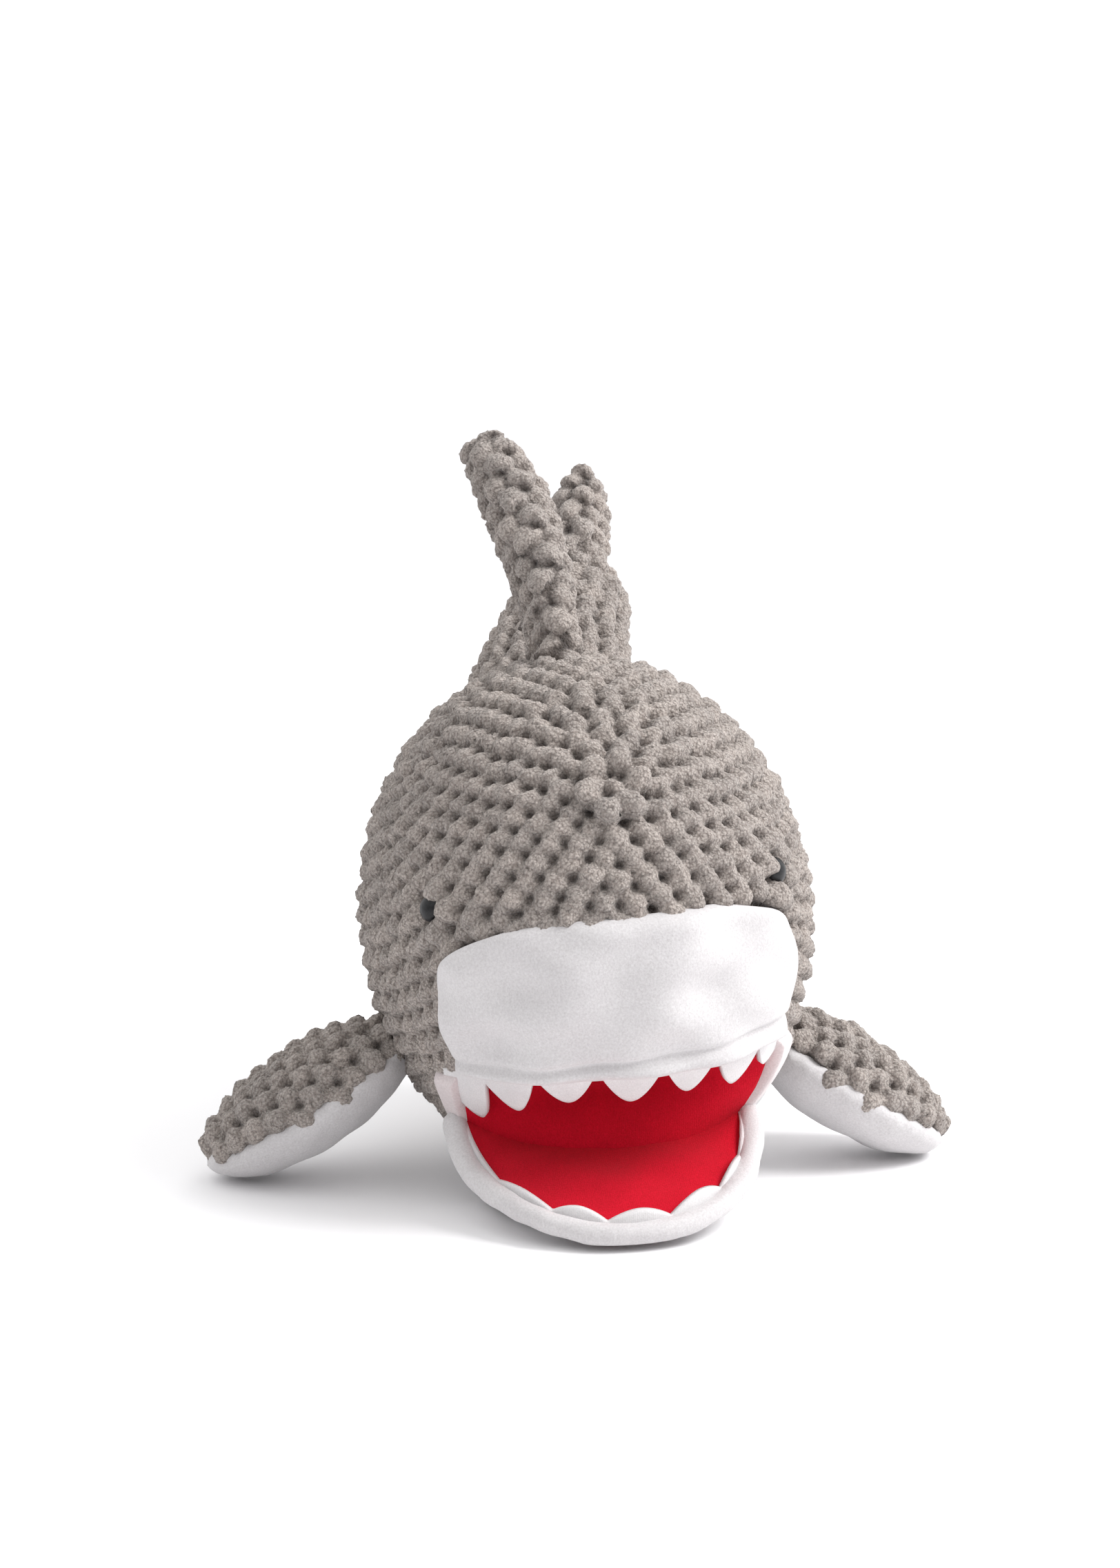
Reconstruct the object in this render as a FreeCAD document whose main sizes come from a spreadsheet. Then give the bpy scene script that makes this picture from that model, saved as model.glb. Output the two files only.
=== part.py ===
import FreeCAD
import Part
import math
import os
import re

# A stuffed toy shark that sits on its belly with its mouth open.
# The covers are crocheted yarn or fleece, the mouth is felt, and each cover holds its own stuffing.
# +Z is up, the nose points to -Y, and the shark's own left side is at +X.
# The origin is on the belly's flat resting face. Lengths are millimetres and angles are degrees.

DIMENSIONS = (
    # cloth and clearances
    ("crochet_thickness", 7.0),
    ("fleece_thickness", 3.0),
    ("felt_thickness", 2.0),
    ("body_gap", 0.4),
    # head and body: one egg, leaned a little to the shark's right
    ("body_half_width", 90.0),
    ("body_half_length", 108.0),
    ("body_half_height", 99.0),
    ("body_centre_y", -5.0),
    ("body_centre_z", 96.0),
    ("body_lean", 5.0),
    # rump: the round sections between the body and the tail joint
    ("rump_front_radius", 84.0),
    ("rump_front_y", 25.0),
    ("rump_front_z", 97.0),
    ("rump_middle_radius", 67.0),
    ("rump_middle_y", 75.0),
    ("rump_middle_z", 110.0),
    ("rump_middle_rise", 18.0),
    # tail stem, from its joint with the rump to its joint with the tail fin
    ("tail_joint_radius", 49.7),
    ("tail_joint_y", 105.0),
    ("tail_joint_z", 131.0),
    ("tail_joint_rise", 35.0),
    ("stem_root_radius", 49.0),
    ("stem_middle_radius", 38.0),
    ("stem_middle_x", 4.0),
    ("stem_middle_y", 132.0),
    ("stem_middle_z", 165.0),
    ("stem_end_radius", 26.5),
    ("stem_end_x", 13.0),
    ("stem_end_y", 156.0),
    ("stem_end_z", 203.0),
    ("stem_end_rise", 50.0),
    ("tail_turn", 18.0),
    # tail fin lobes
    ("lobe_padding", 5.0),
    ("upper_lobe_half_length", 37.0),
    ("upper_lobe_half_chord", 20.0),
    ("upper_lobe_half_thickness", 13.0),
    ("upper_lobe_reach", 34.0),
    ("upper_lobe_rise", 62.0),
    ("lower_lobe_half_length", 34.0),
    ("lower_lobe_half_chord", 16.0),
    ("lower_lobe_half_thickness", 12.0),
    ("lower_lobe_reach", 35.0),
    ("lower_lobe_rise", -3.0),
    # mouth
    ("hinge_y", -50.0),
    ("hinge_z", 27.0),
    ("mouth_knee_z", 34.0),
    ("palate_back_y", -62.0),
    ("palate_back_z", 50.0),
    ("palate_rise", 12.0),
    ("snout_panel_y", -66.0),
    ("snout_panel_top", 113.0),
    ("cheek_back_y", -46.0),
    ("cheek_top", 52.0),
    ("tooth_root_share", 0.25),
    ("upper_tooth_count", 6.0),
    ("upper_tooth_pitch", 19.0),
    ("upper_tooth_length", 11.0),
    # lower jaw
    ("jaw_half_width", 64.0),
    ("jaw_half_length", 70.0),
    ("jaw_depth", 40.0),
    ("jaw_slope", 16.0),
    ("lower_tooth_count", 5.0),
    ("lower_tooth_pitch", 22.0),
    ("lower_tooth_length", 7.0),
    # belly
    ("belly_panel_top", 20.0),
    # eyes
    ("eye_radius", 5.0),
    ("eye_half_depth", 3.5),
    ("eye_stem_radius", 1.6),
    ("eye_stem_length", 15.0),
    ("eye_washer_radius", 7.0),
    ("eye_washer_thickness", 1.5),
    ("eye_sink", 1.5),
    ("eye_x", 65.0),
    ("eye_z", 123.0),
    # pectoral fins
    ("pectoral_half_length", 48.0),
    ("pectoral_half_chord", 34.0),
    ("pectoral_half_thickness", 19.0),
    ("pectoral_padding", 6.0),
    ("pectoral_droop", 28.0),
    ("pectoral_x", 107.0),
    ("pectoral_y", -8.0),
    ("pectoral_z", 28.3),
    # dorsal fin
    ("dorsal_root_radius", 9.5),
    ("dorsal_half_chord", 34.0),
    ("dorsal_y", 22.0),
    ("dorsal_z", 192.5),
    ("dorsal_slope", 14.0),
    ("dorsal_lean", 9.0),
    ("dorsal_padding", 5.0),
    ("dorsal_middle_height", 45.0),
    ("dorsal_middle_half_chord", 25.0),
    ("dorsal_middle_half_thickness", 12.5),
    ("dorsal_middle_sweep", 6.0),
    ("dorsal_top_height", 80.0),
    ("dorsal_top_half_chord", 14.0),
    ("dorsal_top_half_thickness", 11.0),
    ("dorsal_top_sweep", 14.0),
    ("dorsal_tip_height", 90.0),
    ("dorsal_tip_half_chord", 7.0),
    ("dorsal_tip_half_thickness", 5.5),
    ("dorsal_tip_sweep", 16.0),
)

SHEET = "Dimensions"
FAR = 200.0
X_AXIS = FreeCAD.Vector(1, 0, 0)
Y_AXIS = FreeCAD.Vector(0, 1, 0)
Z_AXIS = FreeCAD.Vector(0, 0, 1)
NO_TURN = FreeCAD.Rotation()
UPRIGHT = FreeCAD.Placement()

doc = FreeCAD.newDocument("plush_shark")
sheet = doc.addObject("Spreadsheet::Sheet", SHEET)
for row, (alias, number) in enumerate(DIMENSIONS, start=1):
    sheet.set(f"A{row}", alias)
    sheet.set(f"B{row}", str(number))
    sheet.setAlias(f"B{row}", alias)
doc.recompute()

ALIASES = {alias for alias, number in DIMENSIONS}
SUB_PARTS = {}


def size(alias):
    """The number in the sheet's cell with this alias."""
    return float(sheet.get(alias))


def bind(item, **formulas):
    """Bind properties to formulas written with the sheet's aliases."""
    for name, formula in formulas.items():
        linked = re.sub(
            r"[a-z]+(?:_[a-z]+)+",
            lambda word: f"{SHEET}.{word[0]}" if word[0] in ALIASES else word[0],
            formula,
        )
        item.setExpression(name, linked)


def turned_about(axis, angle, point):
    """A placement that turns about an axis through a point."""
    return FreeCAD.Placement(FreeCAD.Vector(), FreeCAD.Rotation(axis, angle), point)


def rising(rise, yaw=0.0):
    """The turn that takes +Z to a direction rising from +Y, then yawed towards +X."""
    tilt = FreeCAD.Rotation(X_AXIS, rise - 90.0)
    return FreeCAD.Rotation(Z_AXIS, -yaw).multiply(tilt)


def put(item, base, turn=NO_TURN, frame=UPRIGHT):
    item.Placement = frame.multiply(FreeCAD.Placement(FreeCAD.Vector(*base), turn))
    return item


def ellipsoid(name, half_x, half_y, half_z, base, turn=NO_TURN, frame=UPRIGHT):
    item = doc.addObject("Part::Ellipsoid", name)
    bind(item, Radius1=half_z, Radius2=half_x, Radius3=half_y)
    return put(item, base, turn, frame)


def sphere(name, radius, base, frame=UPRIGHT):
    item = doc.addObject("Part::Sphere", name)
    bind(item, Radius=radius)
    return put(item, base, NO_TURN, frame)


def cylinder(name, radius, length, base, turn=NO_TURN, frame=UPRIGHT):
    item = doc.addObject("Part::Cylinder", name)
    bind(item, Radius=radius, Height=length)
    return put(item, base, turn, frame)


def zone(name, low, high, frame=UPRIGHT):
    """A box that stands for a region of space, from its low to its high corner."""
    item = doc.addObject("Part::Box", name)
    item.Length = high[0] - low[0]
    item.Width = high[1] - low[1]
    item.Height = high[2] - low[2]
    return put(item, low, NO_TURN, frame)


def ring_section(name, half_chord, half_thickness, base, turn, frame=UPRIGHT):
    """An ellipse whose long half-axis lies along the turned frame's Y."""
    item = doc.addObject("Part::Ellipse", name)
    bind(item, MajorRadius=half_chord, MinorRadius=half_thickness)
    along_y = FreeCAD.Rotation(Z_AXIS, 90.0)
    return put(item, base, turn.multiply(along_y), frame)


def round_section(name, radius, base, turn, frame=UPRIGHT):
    item = doc.addObject("Part::Circle", name)
    bind(item, Radius=radius)
    return put(item, base, turn, frame)


def loft(name, sections):
    item = doc.addObject("Part::Loft", name)
    item.Sections = sections
    item.Solid = True
    item.Ruled = False
    return item


def cut(name, base, *tools):
    """The base with each tool taken away in turn."""
    for number, tool in enumerate(tools, start=1):
        item = doc.addObject("Part::Cut", name if number == len(tools) else f"{name}_{number}")
        item.Base = base
        item.Tool = tool
        base = item
    return base


def fuse(name, *items):
    item = doc.addObject("Part::MultiFuse", name)
    item.Shapes = list(items)
    return item


def common(name, *items):
    item = doc.addObject("Part::MultiCommon", name)
    item.Shapes = list(items)
    return item


def sub_part(label, item):
    item.Label = label
    SUB_PARTS[label] = item


def side_outline(name, points):
    """A wall to wall prism whose outline is drawn in the YZ plane."""
    body = doc.addObject("PartDesign::Body", name)
    sketch = body.newObject("Sketcher::SketchObject", f"{name}_outline")
    plane = [item for item in body.Origin.OriginFeatures if item.Role == "YZ_Plane"][0]
    sketch.AttachmentSupport = [(plane, "")]
    sketch.MapMode = "FlatFace"
    draw_outline(sketch, points)
    pad = body.newObject("PartDesign::Pad", f"{name}_pad")
    pad.Profile = sketch
    pad.Length = 2.0 * FAR
    pad.Midplane = True
    return body


def draw_outline(sketch, points):
    """A closed outline of straight lines."""
    corners = [FreeCAD.Vector(first, second, 0) for first, second in points]
    for start, end in zip(corners, corners[1:] + corners[:1]):
        sketch.addGeometry(Part.LineSegment(start, end))


def tooth_row(name, count, pitch, length, base, slope, points_up, frame=UPRIGHT):
    """A row of pointed teeth across X, padded towards the nose along the mouth's sloping face."""
    body = doc.addObject("PartDesign::Body", name)
    sketch = body.newObject("Sketcher::SketchObject", f"{name}_outline")
    plane = [item for item in body.Origin.OriginFeatures if item.Role == "XZ_Plane"][0]
    sketch.AttachmentSupport = [(plane, "")]
    sketch.MapMode = "FlatFace"
    side = 1.0 if points_up else -1.0
    half = count * pitch / 2.0
    root = size("tooth_root_share") * length
    points = [(half, side * root), (half, 0.0), (-half, 0.0), (-half, side * root)]
    for number in range(int(count)):
        points.append((-half + (number + 0.5) * pitch, side * length))
        if number < count - 1:
            points.append((-half + (number + 1) * pitch, side * root))
    draw_outline(sketch, points)
    pad = body.newObject("PartDesign::Pad", f"{name}_pad")
    pad.Profile = sketch
    pad.Length = FAR
    put(body, base, FreeCAD.Rotation(X_AXIS, slope), frame)
    return body


body_centre = (0.0, size("body_centre_y"), size("body_centre_z"))
LEANED = turned_about(Y_AXIS, -size("body_lean"), FreeCAD.Vector(*body_centre))


# Head and body

def body_egg(name, inset):
    """The body's egg, drawn in by an inset formula."""
    return ellipsoid(
        name,
        f"body_half_width - ({inset})",
        f"body_half_length - ({inset})",
        f"body_half_height - ({inset})",
        body_centre,
        frame=LEANED,
    )


def rump(name, inset):
    """The round sections that carry the body's width back to the tail joint."""
    front = round_section(
        f"{name}_front",
        f"rump_front_radius - ({inset})",
        (0.0, size("rump_front_y"), size("rump_front_z")),
        rising(0.0),
        LEANED,
    )
    middle = round_section(
        f"{name}_middle",
        f"rump_middle_radius - ({inset})",
        (0.0, size("rump_middle_y"), size("rump_middle_z")),
        rising(size("rump_middle_rise")),
        LEANED,
    )
    back = round_section(
        f"{name}_back",
        f"tail_joint_radius - ({inset})",
        (0.0, size("tail_joint_y"), size("tail_joint_z")),
        rising(size("tail_joint_rise")),
        LEANED,
    )
    return loft(name, [front, middle, back])


def mouth_side(name, offset):
    """The mouth's space seen from the side, grown by an offset into the head."""
    wall_y = size("hinge_y") + offset
    back_y = size("palate_back_y") + offset
    back_z = size("palate_back_z") + offset
    climb = math.tan(math.radians(size("palate_rise")))
    front_z = back_z + climb * (FAR + back_y)
    points = [
        (wall_y, -FAR),
        (wall_y, size("mouth_knee_z")),
        (back_y, back_z),
        (-FAR, front_z),
        (-FAR, -FAR),
    ]
    return put(side_outline(name, points), (0, 0, 0), NO_TURN, LEANED)


tail_joint = LEANED.multVec(FreeCAD.Vector(0.0, size("tail_joint_y"), size("tail_joint_z")))

below_floor = zone("below_floor", (-FAR, -FAR, -FAR), (FAR, 2 * FAR, 0.0))
egg = body_egg("egg", "0")
egg_under_fleece = body_egg("egg_under_fleece", "fleece_thickness")
egg_under_crochet = body_egg("egg_under_crochet", "crochet_thickness")
egg_under_teeth = body_egg("egg_under_teeth", "fleece_thickness + felt_thickness")
outer_form = fuse("outer_form", egg, rump("rump_outer", "0"))
inner_form = fuse("inner_form", egg_under_crochet, rump("rump_inner", "crochet_thickness"))

mouth_space = mouth_side("mouth_space", 0.0)
mouth_with_felt = mouth_side("mouth_with_felt", size("felt_thickness"))

snout_zone = zone(
    "snout_zone",
    (-FAR, -FAR, -FAR),
    (FAR, size("snout_panel_y"), size("snout_panel_top")),
    LEANED,
)
cheek_zone = zone(
    "cheek_zone",
    (-FAR, size("snout_panel_y"), -FAR),
    (FAR, size("cheek_back_y"), size("cheek_top")),
    LEANED,
)
belly_zone = zone(
    "belly_zone",
    (-FAR, size("cheek_back_y"), -FAR),
    (FAR, FAR, size("belly_panel_top")),
    LEANED,
)
panel_zones = fuse("panel_zones", snout_zone, cheek_zone, belly_zone)
floor_under_fleece = zone(
    "floor_under_fleece",
    (-FAR, -FAR, -FAR),
    (FAR, FAR, size("fleece_thickness")),
)


# Eyes: a bead with a stem through the crochet, held by a washer inside

def eye_frame(side):
    """Where an eye sits: on the egg's surface, with +Z straight out of it."""
    x = side * size("eye_x")
    z = size("eye_z") - size("body_centre_z")
    flat = (x / size("body_half_width")) ** 2 + (z / size("body_half_height")) ** 2
    y = -size("body_half_length") * math.sqrt(1.0 - flat)
    outward = FreeCAD.Vector(
        x / size("body_half_width") ** 2,
        y / size("body_half_length") ** 2,
        z / size("body_half_height") ** 2,
    )
    point = FreeCAD.Vector(x, y, z) + FreeCAD.Vector(*body_centre)
    return LEANED.multiply(FreeCAD.Placement(point, FreeCAD.Rotation(Z_AXIS, outward)))


def eye(side, word):
    frame = eye_frame(side)
    sink = size("eye_sink")
    depth = size("eye_stem_length")
    washer_z = -depth + size("eye_washer_thickness")
    bead = ellipsoid(
        f"{word}_bead", "eye_radius", "eye_radius", "eye_half_depth", (0, 0, -sink), NO_TURN, frame
    )
    stem = cylinder(
        f"{word}_stem", "eye_stem_radius", "eye_stem_length", (0, 0, -depth), NO_TURN, frame
    )
    whole = fuse(f"{word}_eye_solid", bead, stem)
    disc = cylinder(
        f"{word}_washer_disc",
        "eye_washer_radius",
        "eye_washer_thickness",
        (0, 0, washer_z),
        NO_TURN,
        frame,
    )
    washer = cut(f"{word}_washer_solid", disc, stem)
    sub_part(f"{word}_eye", whole)
    sub_part(f"{word}_eye_washer", washer)
    return [whole, washer]


eyes = eye(1.0, "left") + eye(-1.0, "right")


# Dorsal fin

def dorsal_base(height, sweep):
    """A point above the dorsal root, leaned sideways and swept back."""
    up = FreeCAD.Rotation(X_AXIS, -size("dorsal_slope")).multVec(FreeCAD.Vector(0, sweep, height))
    aside = -height * math.tan(math.radians(size("dorsal_lean")))
    return (aside, size("dorsal_y") + up.y, size("dorsal_z") + up.z)


def dorsal_form(name, inset):
    flat = FreeCAD.Rotation(X_AXIS, -size("dorsal_slope"))
    root = ring_section(
        f"{name}_root",
        f"dorsal_half_chord - ({inset})",
        f"dorsal_root_radius - ({inset})",
        dorsal_base(0.0, 0.0),
        flat,
        LEANED,
    )
    sections = [root]
    for level in ("middle", "top", "tip"):
        sections.append(
            ring_section(
                f"{name}_{level}",
                f"dorsal_{level}_half_chord - ({inset})",
                f"dorsal_{level}_half_thickness - ({inset})",
                dorsal_base(size(f"dorsal_{level}_height"), size(f"dorsal_{level}_sweep")),
                flat,
                LEANED,
            )
        )
    return loft(name, sections)


def dorsal_roll(name, growth):
    """The rounded root of the dorsal fin, which turns in a matching groove in the back."""
    down_the_back = FreeCAD.Rotation(X_AXIS, -90.0 - size("dorsal_slope"))
    half = size("dorsal_half_chord") + growth
    start = down_the_back.multVec(FreeCAD.Vector(0, 0, -half))
    base = (0.0, size("dorsal_y") + start.y, size("dorsal_z") + start.z)
    return cylinder(
        name,
        f"dorsal_root_radius + {growth}",
        f"2 * (dorsal_half_chord + {growth})",
        base,
        down_the_back,
        LEANED,
    )


dorsal_groove = dorsal_roll("dorsal_groove", size("body_gap"))
dorsal_outer = fuse(
    "dorsal_outer",
    dorsal_form("dorsal_form_outer", "0"),
    dorsal_roll("dorsal_roll_outer", 0.0),
)
dorsal_inner = dorsal_form("dorsal_form_inner", "dorsal_padding")
sub_part("dorsal_fin_cover", cut("dorsal_cover_solid", dorsal_outer, dorsal_inner))
sub_part("dorsal_fin_stuffing", dorsal_inner)


# Covers, panels, felt and stuffing of the head and body

tail_socket = sphere("tail_socket", "tail_joint_radius + body_gap", tuple(tail_joint))

crochet_shell = cut("crochet_shell", outer_form, inner_form, panel_zones, mouth_with_felt)
sub_part("body_cover", cut("body_cover_solid", crochet_shell, dorsal_groove, tail_socket, *eyes))

fleece_shell = cut("fleece_shell", egg, egg_under_fleece, mouth_space)
sub_part("snout_panel", common("snout_panel_solid", fleece_shell, snout_zone))

left_half = zone("left_half", (0.0, -FAR, -FAR), (FAR, FAR, FAR), LEANED)
right_half = zone("right_half", (-FAR, -FAR, -FAR), (0.0, FAR, FAR), LEANED)
sub_part("left_cheek_panel", common("left_cheek_solid", fleece_shell, cheek_zone, left_half))
sub_part("right_cheek_panel", common("right_cheek_solid", fleece_shell, cheek_zone, right_half))

belly_blank = common("belly_blank", egg, belly_zone)
belly_core = common("belly_core", egg_under_fleece, belly_zone)
belly_core_above_floor = cut("belly_core_above_floor", belly_core, floor_under_fleece)
sub_part("belly_panel", cut("belly_panel_solid", belly_blank, below_floor, belly_core_above_floor))

panel_filling = common("panel_filling", egg_under_fleece, panel_zones)
stuffing_blank = fuse("stuffing_blank", inner_form, panel_filling)
stuffing_solid = cut(
    "body_stuffing_solid",
    stuffing_blank,
    floor_under_fleece,
    mouth_with_felt,
    dorsal_groove,
    tail_socket,
    *eyes,
)
sub_part("body_stuffing", stuffing_solid)

palate_slab = cut("palate_slab", mouth_with_felt, mouth_space)
sub_part("upper_mouth_lining", common("upper_lining_solid", egg_under_fleece, palate_slab))

upper_row = tooth_row(
    "upper_tooth_row",
    size("upper_tooth_count"),
    size("upper_tooth_pitch"),
    size("upper_tooth_length"),
    (0.0, size("palate_back_y"), size("palate_back_z")),
    -size("palate_rise"),
    False,
    LEANED,
)
upper_tooth_band = cut("upper_tooth_band", egg_under_fleece, egg_under_teeth)
sub_part("upper_teeth", common("upper_teeth_solid", upper_tooth_band, upper_row))


# Lower jaw

def jaw_bowl(name, inset):
    return ellipsoid(
        name,
        f"jaw_half_width - ({inset})",
        f"jaw_half_length - ({inset})",
        f"jaw_depth - ({inset})",
        (0.0, size("hinge_y"), size("hinge_z")),
    )


def jaw_block(name, top, back, floor):
    """The jaw's side view as a prism: under its sloping top, in front of its back, above the floor."""
    slope = math.tan(math.radians(size("jaw_slope")))
    hinge_y = size("hinge_y")
    hinge_z = size("hinge_z")
    reach = (hinge_z - top - floor) / slope
    points = [
        (hinge_y - back, hinge_z - back * slope - top),
        (hinge_y - back, floor),
        (hinge_y - reach, floor),
    ]
    return side_outline(name, points)


jaw_outer_bowl = jaw_bowl("jaw_outer_bowl", "0")
jaw_inner_bowl = jaw_bowl("jaw_inner_bowl", "fleece_thickness")
jaw_tooth_bowl = jaw_bowl("jaw_tooth_bowl", "fleece_thickness + felt_thickness")
jaw_outer_block = jaw_block("jaw_outer_block", 0.0, size("body_gap"), 0.0)
jaw_lined_block = jaw_block("jaw_lined_block", 0.0, size("fleece_thickness"), size("fleece_thickness"))
jaw_filled_block = jaw_block(
    "jaw_filled_block", size("felt_thickness"), size("fleece_thickness"), size("fleece_thickness")
)
jaw_whole = common("jaw_whole", jaw_outer_bowl, jaw_outer_block)
jaw_lined = common("jaw_lined", jaw_inner_bowl, jaw_lined_block)
jaw_filled = common("jaw_filled", jaw_inner_bowl, jaw_filled_block)
sub_part("jaw_cover", cut("jaw_cover_solid", jaw_whole, jaw_lined))
sub_part("jaw_stuffing", jaw_filled)
sub_part("lower_mouth_lining", cut("lower_lining_solid", jaw_lined, jaw_filled))

lower_row = tooth_row(
    "lower_tooth_row",
    size("lower_tooth_count"),
    size("lower_tooth_pitch"),
    size("lower_tooth_length"),
    (0.0, size("hinge_y"), size("hinge_z")),
    size("jaw_slope"),
    True,
)
lower_tooth_band = cut("lower_tooth_band", jaw_inner_bowl, jaw_tooth_bowl)
sub_part("lower_teeth", common("lower_teeth_solid", lower_tooth_band, lower_row))


# Pectoral fins: crochet above, fleece below, each on its own root seam

egg_with_gap = body_egg("egg_with_gap", "-body_gap")


def pectoral(side, word):
    base = (side * size("pectoral_x"), size("pectoral_y"), size("pectoral_z"))
    outward = FreeCAD.Rotation(Z_AXIS, 90.0 - side * 90.0)
    turn = FreeCAD.Rotation(Y_AXIS, side * size("pectoral_droop")).multiply(outward)
    frame = FreeCAD.Placement(FreeCAD.Vector(*base), turn)
    whole = ellipsoid(
        f"{word}_pectoral_whole",
        "pectoral_half_length",
        "pectoral_half_chord",
        "pectoral_half_thickness",
        base,
        turn,
    )
    filling = ellipsoid(
        f"{word}_pectoral_filling",
        "pectoral_half_length - crochet_thickness",
        "pectoral_half_chord - crochet_thickness",
        "pectoral_half_thickness - pectoral_padding",
        base,
        turn,
    )
    upper = zone(f"{word}_pectoral_upper", (-FAR, -FAR, 0.0), (FAR, FAR, FAR), frame)
    lower = zone(f"{word}_pectoral_lower", (-FAR, -FAR, -FAR), (FAR, FAR, 0.0), frame)
    upper_half = common(f"{word}_pectoral_upper_half", whole, upper)
    lower_half = common(f"{word}_pectoral_lower_half", whole, lower)
    top = cut(f"{word}_pectoral_top_solid", upper_half, filling, egg_with_gap)
    underside = cut(f"{word}_pectoral_underside_solid", lower_half, filling, egg_with_gap)
    stuffing = cut(f"{word}_pectoral_stuffing_solid", filling, egg_with_gap)
    sub_part(f"{word}_pectoral_fin_top", top)
    sub_part(f"{word}_pectoral_fin_underside", underside)
    sub_part(f"{word}_pectoral_fin_stuffing", stuffing)


pectoral(1.0, "left")
pectoral(-1.0, "right")


# Tail stem and tail fin

stem_end = FreeCAD.Vector(size("stem_end_x"), size("stem_end_y"), size("stem_end_z"))


def stem_form(name, inset):
    """The tail stem: a ball in the rump's socket that tapers up to the tail fin."""
    half_turn = 0.5 * size("tail_turn")
    middle_rise = 0.5 * (size("tail_joint_rise") + size("stem_end_rise"))
    root = round_section(
        f"{name}_root",
        f"stem_root_radius - ({inset})",
        tuple(tail_joint),
        rising(size("tail_joint_rise")),
    )
    middle = round_section(
        f"{name}_middle",
        f"stem_middle_radius - ({inset})",
        (size("stem_middle_x"), size("stem_middle_y"), size("stem_middle_z")),
        rising(middle_rise, half_turn),
    )
    end = round_section(
        f"{name}_end",
        f"stem_end_radius - ({inset})",
        tuple(stem_end),
        rising(size("stem_end_rise"), size("tail_turn")),
    )
    ball = sphere(f"{name}_ball", f"tail_joint_radius - ({inset})", tuple(tail_joint))
    return fuse(name, ball, loft(f"{name}_taper", [root, middle, end]))


fin_socket = sphere("fin_socket", "stem_end_radius + body_gap", tuple(stem_end))
stem_outer = stem_form("stem_outer", "0")
stem_inner = stem_form("stem_inner", "crochet_thickness")
sub_part("tail_stem_cover", cut("tail_stem_cover_solid", stem_outer, stem_inner, fin_socket))
sub_part("tail_stem_stuffing", cut("tail_stem_stuffing_solid", stem_inner, fin_socket))


def lobe(name, part, inset):
    """One lobe of the tail fin, reaching out from the end of the stem."""
    turn = rising(size(f"{part}_lobe_rise"), size("tail_turn"))
    centre = stem_end + turn.multVec(FreeCAD.Vector(0, 0, size(f"{part}_lobe_reach")))
    return ellipsoid(
        name,
        f"{part}_lobe_half_thickness - ({inset})",
        f"{part}_lobe_half_chord - ({inset})",
        f"{part}_lobe_half_length - ({inset})",
        tuple(centre),
        turn,
    )


fin_hub = sphere("fin_hub", "stem_end_radius", tuple(stem_end))
upper_outer = fuse("upper_lobe_outer", fin_hub, lobe("upper_lobe", "upper", "0"))
upper_inner = lobe("upper_lobe_inner", "upper", "lobe_padding")
lower_outer = cut("lower_lobe_outer", lobe("lower_lobe", "lower", "0"), upper_outer)
lower_inner = cut("lower_lobe_inner", lobe("lower_lobe_core", "lower", "lobe_padding"), upper_outer)
sub_part("tail_fin_upper_lobe_cover", cut("upper_lobe_cover_solid", upper_outer, upper_inner))
sub_part("tail_fin_upper_lobe_stuffing", upper_inner)
sub_part("tail_fin_lower_lobe_cover", cut("lower_lobe_cover_solid", lower_outer, lower_inner))
sub_part("tail_fin_lower_lobe_stuffing", lower_inner)


def report_failures():
    """Stop if any object of the document failed, or any sub-part is empty or broken."""
    failed = [item.Name for item in doc.Objects if {"Invalid", "Error"} & set(item.State)]
    for label, item in SUB_PARTS.items():
        if item.Shape.isNull() or not item.Shape.isValid() or item.Shape.Volume < 1.0:
            failed.append(label)
    if failed:
        raise RuntimeError("these objects failed: " + ", ".join(failed))


doc.recompute()
report_failures()
os.makedirs("parts", exist_ok=True)
for label, item in SUB_PARTS.items():
    shape = item.Shape
    box = shape.BoundBox
    print(
        f"{label}: {len(shape.Solids)} solid(s), {shape.Volume / 1000.0:.1f} cm3, "
        f"x {box.XMin:.1f} {box.XMax:.1f}, y {box.YMin:.1f} {box.YMax:.1f}, z {box.ZMin:.1f} {box.ZMax:.1f}"
    )
    shape.exportStep(f"parts/{label}.step")
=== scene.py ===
import math

import bpy
import numpy as np
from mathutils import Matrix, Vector
from mathutils.bvhtree import BVHTree
from mathutils.kdtree import KDTree


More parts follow.
